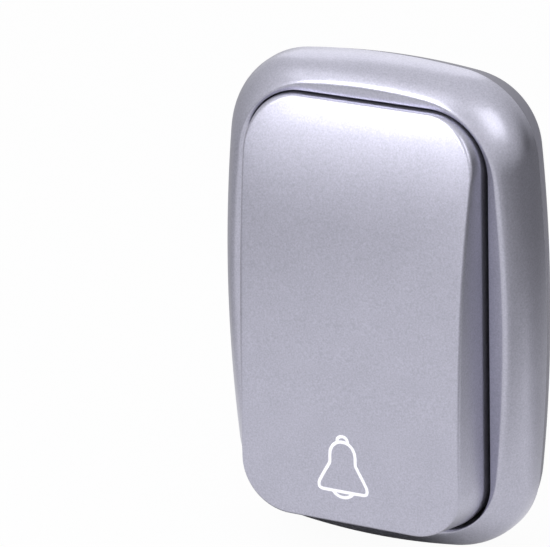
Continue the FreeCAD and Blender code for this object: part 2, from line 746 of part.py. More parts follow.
def make_chassis():
    """Inner deck that carries the hinge, the springs, the board and the generator."""
    body = new_body("chassis")
    flange = case_outline.inset(size("frame_wall") + size("flange_fit"))
    pad(body, "chassis_flange", flange.draw, flange_back, size("flange_thickness"))

    def draw_island(sketch):
        rounded_rectangle(sketch, island_half_width, island_low, island_high, size("island_corner"))
    start = moat_front - size("weld")
    pad(body, "chassis_island", draw_island, start, deck_front - start)

    def draw_inside(sketch):
        corner = size("island_corner") - size("island_wall")
        rounded_rectangle(sketch, inner_half_width, inner_low, inner_high, corner)
    cut(body, "chassis_inside", draw_inside, flange_back, deck_back - flange_back)
    draw_posts = draw_circles(board_screw_spots, size("board_post_radius"))
    pad(body, "chassis_posts", draw_posts, board_front, deck_back - board_front + size("weld"))
    draw_bosses = draw_circles(cover_screw_spots, size("chassis_boss_radius"))
    cup_front = cover_front + size("cover_shelf")
    pad(body, "chassis_bosses", draw_bosses, cup_front, flange_back - cup_front + size("weld"))
    draw_spigots = draw_circles(
        spring_spots, size("spring_radius") - size("spring_wire") * 0.5 - size("spigot_clearance")
    )
    start = deck_front - size("weld")
    pad(body, "chassis_spigots", draw_spigots, start, size("spigot_height") + size("weld"))

    def draw_ears(sketch):
        level = -hinge_level
        radius = size("ear_radius")
        slope = radius * cosine(Size.of(45))
        foot = size("weld") - moat_front
        polygon(sketch, [
            (foot, hinge_z - radius),
            (level, hinge_z - radius),
            (level - slope, hinge_z - slope),
            (level - radius, hinge_z),
            (level - slope, hinge_z + slope),
            (level, hinge_z + radius),
            (foot, hinge_z + radius),
        ])
    starts = (-ear_end, -size("ear_inner_start") - size("ear_width"), size("ear_inner_start"), ear_outer_start)
    for index, start in enumerate(starts):
        cross_pad(body, f"chassis_ear_{index}", draw_ears, start, start + size("ear_width"))

    def draw_bore(sketch):
        circle(sketch, -hinge_level, hinge_z, size("hinge_pin_radius"))
    cross_pad(body, "chassis_bore", draw_bore, -ear_end, ear_end, cutting=True)

    def draw_port(sketch):
        rectangle(
            sketch,
            -size("port_half_width"),
            size("port_half_width"),
            pusher_z - size("port_half_height"),
            pusher_z + size("port_half_height"),
        )
    cut(body, "chassis_port", draw_port, deck_back, size("deck_thickness"))

    def draw_windows(sketch):
        half = size("hook_half_width") + size("window_clearance")
        for side in BOTH:
            x = size("hook_x") * side
            low = island_low - size("overcut")
            rectangle(sketch, x - half, x + half, low, inner_low + size("overcut"))
    window_back = hook_back - hook_travel - size("window_clearance")
    cut(body, "chassis_windows", draw_windows, window_back, window_front - window_back)
    hole = size("frame_screw_radius") + size("screw_hole_clearance")
    draw_frame_holes = draw_circles(frame_screw_spots, hole)
    cut(body, "chassis_frame_holes", draw_frame_holes, flange_back, size("flange_thickness"))
    depth = size("cover_screw_length") - size("cover_shelf") + size("pilot_spare")
    draw_cover_holes = draw_circles(cover_screw_spots, size("cover_screw_radius"))
    cut(body, "chassis_cover_holes", draw_cover_holes, cup_front, depth)
    depth = size("board_screw_length") - size("board_thickness") + size("pilot_spare")
    draw_board_holes = draw_circles(board_screw_spots, size("board_screw_radius"))
    cut(body, "chassis_board_holes", draw_board_holes, board_front, depth)
    return body


chassis = make_chassis()
hinge_pin = bar("hinge_pin", -ear_end, ear_end, hinge_level, hinge_z, size("hinge_pin_radius"))


class RockerBlock:
    """Solid under the rocker's curved front, drawn in by a wall thickness."""

    def __init__(self, name, wall):
        self.name = name
        self.wall = wall

    def section(self, level):
        """The outline at a level beyond the base plane, where the sides lean inwards."""
        rise = level - rocker_base
        return RockerSection(
            rise * tangent(size("side_draft")) + self.wall,
            rise * tangent(size("end_draft")) + self.wall,
            size("rocker_front_corner") - self.wall,
        )

    def build(self):
        body = new_body(self.name + "_block")
        top = rocker_front + size("overcut")
        skirt = RockerSection(self.wall, self.wall, rocker_corner - self.wall)
        low = skirt_back - self.wall
        pad(body, self.name + "_skirt", skirt.draw, low, rocker_base - low)
        made = loft(body, self.name + "_dome", [
            (skirt, rocker_base),
            (self.section(top), top),
        ])
        made.Ruled = True
        sketch = new_sketch(body, self.name + "_crown", 0, "YZ_Plane")
        self.draw_crown(sketch)
        doc.recompute()
        crown = body.newObject("PartDesign::Pocket", self.name + "_front")
        crown.Profile = sketch
        crown.Midplane = True
        bind(crown, "Length", size("case_half_width") * 4)
        doc.recompute()
        body.Tip = crown
        return body

    def draw_crown(self, sketch):
        """Everything in front of the rocker's face: a flat, a gentle bow and a tighter one."""
        low_z = -size("case_half_height")
        high_z = size("case_half_height")
        clear = rocker_front + size("case_half_width")
        face = rocker_front - self.wall
        low_bow = size("lower_bow") - self.wall
        high_bow = size("upper_bow") - self.wall
        flat_end = -size("lower_bow_start")
        turn = math.asin((size("upper_bow_start").value - flat_end.value) / size("lower_bow").value)
        c1 = Vector(-(face.value - low_bow.value), flat_end.value, 0)
        p1 = c1 + Vector(-math.cos(turn), math.sin(turn), 0) * low_bow.value
        c2 = p1 - Vector(-math.cos(turn), math.sin(turn), 0) * high_bow.value
        rise = high_z.value - c2.y
        p2 = Vector(c2.x - math.sqrt(high_bow.value ** 2 - rise ** 2), high_z.value, 0)
        start = Vector(-face.value, low_z.value, 0)
        p0 = Vector(-face.value, flat_end.value, 0)
        flat = sketch.addGeometry(Part.LineSegment(start, p0))
        end_turn = math.asin(rise / high_bow.value)
        ring = Part.Circle(c1, Vector(0, 0, 1), low_bow.value)
        gentle = sketch.addGeometry(Part.ArcOfCircle(ring, math.pi - turn, math.pi))
        ring = Part.Circle(c2, Vector(0, 0, 1), high_bow.value)
        tight = sketch.addGeometry(Part.ArcOfCircle(ring, math.pi - end_turn, math.pi - turn))
        out = sketch.addGeometry(Part.LineSegment(p2, Vector(-clear.value, high_z.value, 0)))
        far = Part.LineSegment(Vector(-clear.value, high_z.value, 0), Vector(-clear.value, low_z.value, 0))
        down = sketch.addGeometry(far)
        back = sketch.addGeometry(Part.LineSegment(Vector(-clear.value, low_z.value, 0), start))
        sketch.addConstraint(Sketcher.Constraint("Tangent", flat, 2, gentle, 2))
        sketch.addConstraint(Sketcher.Constraint("Tangent", gentle, 1, tight, 2))
        sketch.addConstraint(Sketcher.Constraint("Coincident", tight, 1, out, 1))
        sketch.addConstraint(Sketcher.Constraint("Coincident", out, 2, down, 1))
        sketch.addConstraint(Sketcher.Constraint("Coincident", down, 2, back, 1))
        sketch.addConstraint(Sketcher.Constraint("Coincident", back, 2, flat, 1))
        sketch.addConstraint(Sketcher.Constraint("Horizontal", out))
        sketch.addConstraint(Sketcher.Constraint("Horizontal", back))
        sketch.addConstraint(Sketcher.Constraint("Vertical", down))
        sketch.addConstraint(Sketcher.Constraint("Vertical", flat))
        measure(sketch, Sketcher.Constraint("Radius", gentle, low_bow.value), "gentle", low_bow)
        measure(sketch, Sketcher.Constraint("Radius", tight, high_bow.value), "tight", high_bow)
        place(sketch, flat, 1, -face, low_z, "start")
        flat_z = Sketcher.Constraint("DistanceY", -1, 1, flat, 2, flat_end.value)
        measure(sketch, flat_z, "flat", flat_end)
        join = flat_end + (size("upper_bow_start") + size("lower_bow_start")) * low_bow / size("lower_bow")
        join_z = Sketcher.Constraint("DistanceY", -1, 1, gentle, 1, join.value)
        measure(sketch, join_z, "join", join)
        place(sketch, down, 1, -clear, high_z, "clear")


class RockerSection:
    """Outline of the rocker, inset from its base outline at the sides and the ends."""

    def __init__(self, side_inset, end_inset, corner):
        self.side_inset = side_inset
        self.end_inset = end_inset
        self.corner = corner

    def draw(self, sketch):
        half_width = rocker_half_width - self.side_inset
        half_height = rocker_half_height - self.end_inset
        rounded_rectangle(sketch, half_width, -half_height, half_height, self.corner)


def make_rocker():
    """Hollow rocker with hinge lugs, a pusher, stop posts, spring cups and stop hooks."""
    outer = RockerBlock("rocker_outer", Size.of(0)).build()
    inner = RockerBlock("rocker_inner", size("rocker_wall")).build()
    shell = trimmed("rocker_shell", outer, inner)
    beyond = rocker_front + size("overcut")
    inside = []
    radius = size("lug_radius")
    for index, side in enumerate(BOTH):
        low = lug_start if side > 0 else -lug_end
        high = low + size("lug_width")
        inside.append(box(f"lug_{index}", low, high, hinge_level, beyond, hinge_z - radius, hinge_z + radius))
        inside.append(bar(f"lug_round_{index}", low, high, hinge_level, hinge_z, radius))
    tip = deck_front + size("seal_thickness") + size("touch_clearance")
    inside.append(box(
        "pusher", -size("pusher_half_width"), size("pusher_half_width"), tip, beyond,
        pusher_z - size("pusher_half_height"), pusher_z + size("pusher_half_height"),
    ))
    bumper_front = deck_front + size("bumper_thickness")
    stop_level = bumper_front + (hinge_z - stop_z) * press + size("touch_clearance")
    for index, (x, z) in enumerate(stop_spots):
        inside.append(rod(f"stop_post_{index}", x, z, stop_level, beyond, size("stop_radius")))
    cup_inner = size("spring_radius") + size("spring_wire") * 0.5 + size("cup_clearance")
    for index, (x, z) in enumerate(spring_spots):
        cup = rod(f"cup_{index}", x, z, spring_top - size("cup_depth"), beyond, cup_inner + size("cup_wall"))
        mouth = spring_top - size("cup_depth") - size("overcut")
        bore = rod(f"cup_bore_{index}", x, z, mouth, spring_top, cup_inner)
        inside.append(trimmed(f"spring_cup_{index}", cup, bore))
    half = size("hook_half_width")
    for index, side in enumerate(BOTH):
        x = size("hook_x") * side
        low = hook_z - size("hook_leg")
        inside.append(box(f"hook_leg_{index}", x - half, x + half, hook_back, beyond, low, hook_z))
        inside.append(
            box(f"hook_toe_{index}", x - half, x + half, hook_back, hook_toe_front, low, hook_toe_z)
        )
    fittings = joined("rocker_fittings", inside)
    # the fittings reach behind the skirt, so they are held inside the outer block stretched back
    limit = joined("rocker_limit", [
        outer,
        box("rocker_limit_back", -rocker_half_width, rocker_half_width, 0, rocker_base,
            -rocker_half_height, rocker_half_height),
    ])
    fitted = shared("rocker_fitted", fittings, limit)
    whole = joined("rocker_whole", [shell, fitted])
    bore_radius = size("hinge_pin_radius") + size("hinge_clearance")
    bore = bar("lug_bore", -ear_end, ear_end, hinge_level, hinge_z, bore_radius)
    return trimmed("rocker_cover", whole, bore)


spring_top = rocker_front - size("rocker_wall") - size("spring_seat")
rocker_cover = make_rocker()
bumper_pads = group("bumper_pads", [
    rod(f"bumper_{index}", x, z, deck_front, deck_front + size("bumper_thickness"), size("bumper_radius"))
    for index, (x, z) in enumerate(stop_spots)
])


def plain(name, shape):
    """A shape made directly from curves, for what no sketch or primitive gives."""
    made = doc.addObject("Part::Feature", name)
    made.Shape = shape
    made.Label = name
    return made


def helix_wire(turns, pitch, radius, wire_radius):
    """A round wire wound along +Z from the origin."""
    path = Part.makeHelix(pitch, pitch * turns, radius)
    across = Part.Circle(Vector(radius, 0, 0), Vector(0, 1, 0), wire_radius)
    section = Part.Wire([across.toShape()])
    return Part.Wire(path.Edges).makePipeShell([section], True, True)


def make_return_springs():
    """Two small compression springs that lift the rocker."""
    wire = size("spring_wire").value * 0.5
    length = (spring_top - deck_front).value - 2 * wire
    turns = size("spring_turns").value
    coils = []
    for x, z in spring_spots:
        coil = helix_wire(turns, length / turns, size("spring_radius").value, wire)
        start = Vector(x.value, -deck_front.value - wire, z.value)
        coil.Placement = Placement(start, Rotation(Vector(1, 0, 0), 90))
        coils.append(coil)
    return plain("return_springs", Part.makeCompound(coils))


return_springs = make_return_springs()


def make_seal():
    """Soft pad that closes the pusher's port and passes the push to the lever."""
    body = new_body("seal_membrane")
    lever_front = deck_back - size("lever_front_gap")

    def draw_boss(sketch):
        rectangle(
            sketch,
            -size("seal_boss_half_width"),
            size("seal_boss_half_width"),
            pusher_z - size("seal_boss_half_height"),
            pusher_z + size("seal_boss_half_height"),
        )

    def draw_sheet(sketch):
        rectangle(
            sketch,
            -size("seal_half_width"),
            size("seal_half_width"),
            pusher_z - size("seal_half_height"),
            pusher_z + size("seal_half_height"),
        )
    pad(body, "seal_sheet", draw_sheet, deck_front, size("seal_thickness"))
    start = lever_front + size("touch_clearance")
    pad(body, "seal_boss", draw_boss, start, deck_front - start + size("weld"))
    return body


seal_membrane = make_seal()


def make_board():
    """Circuit board that hangs on the chassis posts, with a window for the lever's clip."""
    body = new_body("circuit_board")

    def draw_outline(sketch):
        fit = size("board_fit")
        corner = size("island_corner") - size("island_wall") - fit * 0.5
        rounded_rectangle(sketch, inner_half_width - fit, inner_low + fit, inner_high - fit, corner)
    pad(body, "board_slab", draw_outline, board_back, size("board_thickness"))
    hole = size("board_screw_radius") + size("screw_hole_clearance")
    draw_holes = draw_circles(board_screw_spots, hole)
    cut(body, "board_holes", draw_holes, board_back, size("board_thickness"))

    def draw_window(sketch):
        high = pusher_z + size("generator_inset") - size("board_window_edge")
        rectangle(sketch, -size("board_window_half_width"), size("board_window_half_width"),
                  pusher_z - size("board_window_drop"), high)
    cut(body, "board_window", draw_window, board_back, size("board_thickness"))
    return body


circuit_board = make_board()


def make_screws(name, spots, level, radius, length, head, head_thickness):
    """Pan-head screws driven outwards from the wall side."""
    screws = []
    for index, (x, z) in enumerate(spots):
        screws.append(joined(f"{name}_{index}", [
            rod(f"{name}_head_{index}", x, z, level - head_thickness, level, head),
            rod(f"{name}_shank_{index}", x, z, level, level + length, radius),
        ]))
    return group(name, screws)


frame_screws = make_screws(
    "frame_screws", frame_screw_spots, flange_back, size("frame_screw_radius"),
    size("frame_screw_length"), size("frame_screw_head"), size("frame_screw_head_thickness"),
)
cover_screws = make_screws(
    "cover_screws", cover_screw_spots, cover_front, size("cover_screw_radius"),
    size("cover_screw_length"), size("cover_screw_head"), size("cover_screw_head_thickness"),
)
board_screws = make_screws(
    "board_screws", board_screw_spots, board_back, size("board_screw_radius"),
    size("board_screw_length"), size("board_screw_head"), size("board_screw_head_thickness"),
)

# Generator places along Z, from the lever's bar upwards
generator_low = pusher_z + size("generator_inset")
lever_pin_z = inner_high - size("radio_bay") - size("lever_eye")
generator_high = lever_pin_z - size("lever_pin_inset")
bay_low = generator_low + size("generator_wall")
bay_half_width = size("generator_half_width") - size("generator_wall")
yoke_low = bay_low + size("generator_fit")
yoke_high = yoke_low + size("yoke_length")
lever_front = deck_back - size("lever_front_gap")
lever_back = lever_front - size("lever_thickness")
lever_middle = lever_front - size("lever_thickness") * 0.5
bobbin_high = generator_high - size("generator_wall") - size("bobbin_gap")
bobbin_low = yoke_high + size("yoke_gap")
pivot_z = bobbin_high - size("bobbin_flange") * 0.5
terminal_x = size("bobbin_half_width") - size("terminal_inset")
yoke_room = generator_front - size("yoke_thickness") - generator_middle
armature_rise = yoke_room - size("armature_thickness") * 0.5 - size("yoke_clearance")
armature_swing = angle_of_sine(armature_rise / (pivot_z - yoke_low))
armature_end = pusher_z + size("bar_half_height") + size("armature_to_bar")
armature_reach = pivot_z - armature_end
arm_start = size("generator_half_width") + size("lever_arm_gap")
arm_end = arm_start + size("lever_arm_width")


def make_generator_case():
    """Open tray that holds coil, magnets and yokes, with two brackets for the lever pin."""
    body = new_body("generator_case")

    def draw_outer(sketch):
        rectangle(sketch, -size("generator_half_width"), size("generator_half_width"),
                  generator_low, generator_high)
    pad(body, "tray", draw_outer, board_front, generator_front - board_front)

    def draw_bay(sketch):
        rectangle(sketch, -bay_half_width, bay_half_width, bay_low,
                  generator_high - size("generator_wall"))
    cut(body, "tray_bay", draw_bay, generator_base, size("generator_height"))

    def draw_slot(sketch):
        rectangle(sketch, -size("slot_half_width"), size("slot_half_width"),
                  generator_low - size("overcut"), bay_low + size("generator_fit"))
    slot_back = generator_base + size("yoke_thickness") - size("slot_sill")
    cut(body, "tray_slot", draw_slot, slot_back, generator_front - slot_back)

    def draw_brackets(sketch):
        for side in BOTH:
            middle = (size("bracket_x") + size("bracket_width") * 0.5) * side
            half = size("bracket_width") * 0.5
            rectangle(sketch, middle - half, middle + half, generator_high - size("weld"),
                      lever_pin_z + size("lever_eye"))
    pad(body, "tray_brackets", draw_brackets, board_front, generator_front - board_front)

    def draw_pin_bore(sketch):
        circle(sketch, -lever_middle, lever_pin_z, size("lever_pin_radius"))
    cross_pad(body, "tray_pin_bore", draw_pin_bore, -arm_end, arm_end, cutting=True)
    terminals = [(terminal_x * side, pivot_z) for side in BOTH]
    draw_holes = draw_circles(terminals, size("terminal_radius"))
    cut(body, "tray_terminal_holes", draw_holes, board_front, size("generator_floor"))
    return body


generator_case = make_generator_case()


def make_yoke(name, level):
    return box(name, -size("yoke_half_width"), size("yoke_half_width"), level,
               level + size("yoke_thickness"), yoke_low, yoke_high)


lower_yoke = make_yoke("lower_yoke", generator_base)
upper_yoke = make_yoke("upper_yoke", generator_front - size("yoke_thickness"))
magnet_back = generator_base + size("yoke_thickness")
magnet_front = generator_front - size("yoke_thickness")
magnets = group("magnets", [
    box("magnet_left", -size("yoke_half_width"), size("magnet_width") - size("yoke_half_width"),
        magnet_back, magnet_front, yoke_low, yoke_high),
    box("magnet_right", size("yoke_half_width") - size("magnet_width"), size("yoke_half_width"),
        magnet_back, magnet_front, yoke_low, yoke_high),
])
bore_sweep = (pivot_z - bobbin_low) * sine(armature_swing)
tube_half_bore = size("armature_thickness") * 0.5 + bore_sweep + size("bore_clearance")
tube_half = tube_half_bore + size("bobbin_tube_wall")
bore_half_width = size("armature_half_width") + size("bore_side_clearance")
tube_half_width_x = bore_half_width + size("bobbin_tube_wall")


def make_bobbin():
    """Spool for the coil: two flanges, a flat tube and a throat where the armature rocks."""
    body = new_body("coil_bobbin")

    def draw_flange(z_low, z_high):
        def draw(sketch):
            rectangle(sketch, -size("bobbin_half_width"), size("bobbin_half_width"), z_low, z_high)
        return draw
    back = generator_base
    height = size("generator_height") - size("bobbin_seat") * 2
    pad(body, "bobbin_upper", draw_flange(bobbin_high - size("bobbin_flange"), bobbin_high), back, height)

    def draw_tube_block(sketch):
        rectangle(sketch, -tube_half_width_x, tube_half_width_x, bobbin_low,
                  bobbin_high - size("bobbin_flange") * 0.5)
    pad(body, "bobbin_tube", draw_tube_block, generator_middle - tube_half, tube_half * 2)
    pad(body, "bobbin_lower", draw_flange(bobbin_low, bobbin_low + size("bobbin_flange")), back, height)

    def draw_bore(sketch):
        rectangle(sketch, -bore_half_width, bore_half_width, bobbin_low - size("overcut"),
                  bobbin_high - size("bobbin_flange"))
    cut(body, "bobbin_bore", draw_bore, generator_middle - tube_half_bore, tube_half_bore * 2)
    half_throat = size("armature_thickness") * 0.5 + size("throat_clearance")

    def draw_throat(sketch):
        rectangle(sketch, -bore_half_width, bore_half_width,
                  bobbin_high - size("bobbin_flange") - size("weld"),
                  bobbin_high + size("overcut"))
    cut(body, "bobbin_throat", draw_throat, generator_middle - half_throat, half_throat * 2)
    reach = size("armature_half_width") + size("trunnion_length") + size("trunnion_clearance")
    bearing = size("armature_thickness") * 0.5 + size("trunnion_clearance")

    def draw_bearing(sketch):
        circle(sketch, -generator_middle, pivot_z, bearing)
    cross_pad(body, "bobbin_bearing", draw_bearing, -reach, reach, cutting=True)
    terminals = [(terminal_x * side, pivot_z) for side in BOTH]
    draw_holes = draw_circles(terminals, size("terminal_radius"))
    cut(body, "bobbin_terminal_holes", draw_holes, generator_base, size("terminal_depth"))
    return body


coil_bobbin = make_bobbin()
winding_low = bobbin_low + size("bobbin_flange")
winding_high = bobbin_high - size("bobbin_flange")
winding_half_width = tube_half_width_x + size("winding_build")
winding_half = tube_half + size("winding_build")
coil_winding = trimmed(
    "coil_winding",
    box("winding_block", -winding_half_width, winding_half_width, generator_middle - winding_half,
        generator_middle + winding_half, winding_low, winding_high),
    box("winding_bore", -tube_half_width_x, tube_half_width_x, generator_middle - tube_half,
        generator_middle + tube_half, winding_low, winding_high),
)
coil_terminals = group("coil_terminals", [
    rod(f"terminal_{index}", terminal_x * side, pivot_z, board_front,
        generator_base + size("terminal_depth"), size("terminal_radius"))
    for index, side in enumerate(BOTH)
])


def make_armature():
    """Flat steel leaf on two trunnions, through the coil and against the upper yoke at rest."""
    body = new_body("armature")
    half = size("armature_thickness") * 0.5

    def draw_leaf(sketch):
        half_width = size("armature_half_width")
        rectangle(sketch, -half_width, half_width, -armature_reach, size("armature_tail"))
    pad(body, "armature_leaf", draw_leaf, -half, size("armature_thickness"))
    reach = size("armature_half_width") + size("trunnion_length")

    def draw_trunnion(sketch):
        circle(sketch, 0, 0, half)
    cross_pad(body, "armature_trunnions", draw_trunnion, -reach, reach)
    body.Placement = Placement(Vector(0, 0, 0), Rotation(Vector(-1, 0, 0), 1))
    bind(body, "Placement.Base.y", -generator_middle)
    bind(body, "Placement.Base.z", pivot_z)
    bind(body, "Placement.Rotation.Angle", armature_swing)
    return body


armature = make_armature()


def make_lever():
    """U-shaped lever: two arms on the pin and a bar under the seal's boss."""
    body = new_body("generator_lever")
    bar_low = pusher_z - size("bar_half_height")
    bar_high = pusher_z + size("bar_half_height")

    def draw_lever(sketch):
        top = lever_pin_z + size("lever_eye")
        polygon(sketch, [
            (-arm_end, bar_low), (arm_end, bar_low), (arm_end, top), (arm_start, top),
            (arm_start, bar_high), (-arm_start, bar_high), (-arm_start, top), (-arm_end, top),
        ])
    pad(body, "lever_frame", draw_lever, lever_back, size("lever_thickness"))

    def draw_eye(sketch):
        radius = size("lever_pin_radius") + size("lever_pin_clearance")
        circle(sketch, -lever_middle, lever_pin_z, radius)
    cross_pad(body, "lever_eyes", draw_eye, -arm_end, arm_end, cutting=True)

    def draw_slot(sketch):
        rectangle(sketch, -size("leaf_half_width"), size("leaf_half_width"), bar_low, bar_high)
    cut(body, "lever_leaf_slot", draw_slot, leaf_upper_back, size("leaf_thickness"))
    return body


tip_middle = generator_middle + armature_reach * sine(armature_swing)
leaf_upper_back = tip_middle + size("armature_thickness") * 0.5 + size("leaf_clearance")
generator_lever = make_lever()
lever_pin = bar("lever_pin", -arm_end, arm_end, lever_middle, lever_pin_z, size("lever_pin_radius"))


def make_leaf_spring():
    """Springy clip on the lever's bar, with a tongue on each side of the armature's tip."""
    body = new_body("leaf_spring")
    thin = size("leaf_thickness")
    bar_low = pusher_z - size("bar_half_height")
    tongue_end = generator_low - size("leaf_end_clearance")
    lower_front = leaf_upper_back - size("armature_thickness") - size("leaf_clearance") * 2
    lower_front = lower_front - size("leaf_play")

    def draw_clip(sketch):
        polygon(sketch, [
            (-(leaf_upper_back + thin), bar_low - thin),
            (-(leaf_upper_back + thin), tongue_end),
            (-leaf_upper_back, tongue_end),
            (-leaf_upper_back, bar_low),
            (-lower_front, bar_low),
            (-lower_front, tongue_end),
            (thin - lower_front, tongue_end),
            (thin - lower_front, bar_low - thin),
        ])
    half_width = size("leaf_half_width")
    cross_pad(body, "leaf_clip", draw_clip, -half_width, half_width)
    return body


leaf_spring = make_leaf_spring()


def make_chip():
    """Small radio chip with a row of legs on each side."""
    x = size("chip_x")
    z = inner_high - size("radio_inset")
    half_width = size("chip_width") * 0.5
    half_length = size("chip_length") * 0.5
    reach = half_width + size("chip_pin_length")
    body_back = board_front + size("chip_pin_thickness")
    pieces = [box("chip_block", x - half_width, x + half_width, body_back,
                  board_front + size("chip_height"), z - half_length, z + half_length)]
    for index, step in enumerate((-1.5, -0.5, 0.5, 1.5)):
        middle = z + size("chip_pin_pitch") * step
        half = size("chip_pin_width") * 0.5
        pieces.append(box(f"chip_pins_{index}", x - reach, x + reach, board_front,
                          body_back + size("weld"), middle - half, middle + half))
    return joined("radio_chip", pieces)


radio_chip = make_chip()


def make_crystal():
    """Metal can of the frequency crystal, with round ends."""
    x = size("crystal_x")
    z = inner_high - size("radio_inset")
    radius = size("crystal_width") * 0.5
    half_length = size("crystal_length") * 0.5
    front = board_front + size("crystal_height")
    return joined("crystal", [
        box("crystal_block", x - radius, x + radius, board_front, front,
            z - half_length + radius, z + half_length - radius),
        rod("crystal_low_end", x, z - half_length + radius, board_front, front, radius),
        rod("crystal_high_end", x, z + half_length - radius, board_front, front, radius),
    ])


crystal = make_crystal()
capacitor_end = inner_half_width - size("capacitor_edge")
storage_capacitor = bar(
    "storage_capacitor",
    capacitor_end - size("capacitor_length"),
    capacitor_end,
    board_front + size("capacitor_radius"),
    inner_high - size("capacitor_inset"),
    size("capacitor_radius"),
)


def make_row(name, count, x, z, pitch, width, length, height):
    """Like small parts in a column on the board."""
    pieces = []
    for index in range(count):
        middle = z + pitch * index
        pieces.append(box(f"{name}_{index}", x - width * 0.5, x + width * 0.5, board_front,
                          board_front + height, middle - length * 0.5, middle + length * 0.5))
    return group(name, pieces)


edge_row_x = inner_half_width - size("edge_row_inset")
rectifier_diodes = make_row(
    "rectifier_diodes", 4, -edge_row_x, inner_high - size("diode_drop"), size("diode_pitch"),
    size("diode_width"), size("diode_length"), size("diode_height"),
)
chip_passives = make_row(
    "chip_passives", 8, edge_row_x, inner_low + size("passive_rise"), size("passive_pitch"),
    size("passive_width"), size("passive_length"), size("passive_height"),
)


def make_antenna():
    """Spring-shaped antenna that lies along X, with a leg at each end."""
    wire = size("antenna_wire").value * 0.5
    radius = size("antenna_radius").value
    pitch = size("antenna_pitch").value
    turns = size("antenna_turns").value
    x = size("antenna_x").value
    z = (inner_high - size("antenna_inset")).value
    level = board_front.value + size("antenna_lift").value + wire + radius
    coil = helix_wire(turns, pitch, radius, wire)
    half_turn = Rotation(Vector(0, 0, 1), 180)
    coil.Placement = Placement(Vector(x, -level, z), Rotation(Vector(0, 1, 0), 90) * half_turn)
    legs = []
    for along, side in ((0.0, radius), (turns * pitch, -radius)):
        foot = Vector(x + along, -board_front.value, z + side)
        legs.append(Part.makeCylinder(wire, level - board_front.value, foot, Vector(0, -1, 0)))
    return plain("antenna_coil", coil.fuse(legs))


antenna_coil = make_antenna()

NODES = [
    wall_plate, adhesive_pad, rear_cover, housing_gasket, front_frame, frame_screws, cover_screws,
    chassis, hinge_pin, rocker_cover, bumper_pads, return_springs, seal_membrane, circuit_board,
    board_screws, generator_case, lower_yoke, upper_yoke, magnets, coil_bobbin, coil_winding,
    coil_terminals, armature, generator_lever, lever_pin, leaf_spring, radio_chip, crystal,
    storage_capacitor, rectifier_diodes, chip_passives, antenna_coil,
]

doc.recompute()
for made in doc.Objects:
    if "Invalid" in made.State or "Error" in made.State:
        raise RuntimeError(f"{made.Name} failed: {made.State}")
for node in NODES:
    if node.Shape.isNull() or not node.Shape.isValid():
        raise RuntimeError(f"{node.Label} has no valid shape")
    solids = len(node.Shape.Solids)
    bounds = node.Shape.BoundBox
    print(f"{node.Label}: {solids} solids, {node.Shape.Volume:.1f} mm3, "
          f"{bounds.XLength:.1f} x {bounds.YLength:.1f} x {bounds.ZLength:.1f}")
    node.Shape.exportStep(f"parts/{node.Label}.step")
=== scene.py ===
import logging
import math
from dataclasses import dataclass
from enum import Enum
from typing import Any

import bmesh
import bpy
from mathutils import Matrix, Vector


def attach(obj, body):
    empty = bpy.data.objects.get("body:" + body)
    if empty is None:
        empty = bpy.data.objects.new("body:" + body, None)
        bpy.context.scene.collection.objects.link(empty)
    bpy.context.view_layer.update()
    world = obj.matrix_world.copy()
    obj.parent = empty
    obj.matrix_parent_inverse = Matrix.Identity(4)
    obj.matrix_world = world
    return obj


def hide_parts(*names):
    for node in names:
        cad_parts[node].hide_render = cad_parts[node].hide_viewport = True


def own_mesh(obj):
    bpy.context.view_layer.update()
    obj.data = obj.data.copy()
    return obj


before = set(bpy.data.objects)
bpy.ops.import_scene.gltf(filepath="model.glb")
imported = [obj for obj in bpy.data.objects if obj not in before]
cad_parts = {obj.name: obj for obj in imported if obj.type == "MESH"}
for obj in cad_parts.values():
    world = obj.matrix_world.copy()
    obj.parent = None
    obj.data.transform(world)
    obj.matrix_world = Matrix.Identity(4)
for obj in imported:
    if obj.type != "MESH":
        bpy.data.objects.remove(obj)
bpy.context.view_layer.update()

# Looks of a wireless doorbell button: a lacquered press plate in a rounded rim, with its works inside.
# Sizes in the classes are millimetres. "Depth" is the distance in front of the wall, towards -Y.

MM = 0.001
WHITE = (1.0, 1.0, 1.0, 1.0)
# an edge that turns by more degrees than this stays sharp
CREASE = 35.0
# points closer than this, in metres, are one point
SAME_PLACE = 1e-8
# how often a place that depends on itself is worked out again
ROUNDS = 40
# a rounding takes at most this share of the way to the next ring
ROUND_LIMIT = 0.45
# nearly all values of a noise lie between these two
NOISE_LOW = 0.3
NOISE_HIGH = 0.7

log = logging.getLogger("doorbell_button")

Ring = list[Vector]
Spot = tuple[float, float]


def at(x: float, depth: float, z: float) -> Vector:
    """A point in metres, from millimetres and a depth in front of the wall."""
    return Vector((x * MM, -depth * MM, z * MM))


class Body(Enum):
    """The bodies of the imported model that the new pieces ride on."""

    WALL_PLATE = "wall_plate"
    HOUSING = "housing"
    ROCKER = "rocker"


# Nodes


def add_node(
    tree: bpy.types.NodeTree,
    kind: str,
    settings: dict[str, Any] | None = None,
    sockets: dict[str | int, Any] | None = None,
) -> bpy.types.Node:
    """Adds one node with its settings, values and links.

    Args:
        tree: shader or geometry node tree that gets the node.
        kind: the node's type name.
        settings: properties of the node itself.
        sockets: input values by name or index; an output socket is linked, anything else is set.

    Returns:
        The new node.
    """
    node = tree.nodes.new(kind)
    for name, value in (settings or {}).items():
        setattr(node, name, value)
    for key, value in (sockets or {}).items():
        if isinstance(value, bpy.types.NodeSocket):
            tree.links.new(value, node.inputs[key])
        else:
            node.inputs[key].default_value = value
    return node


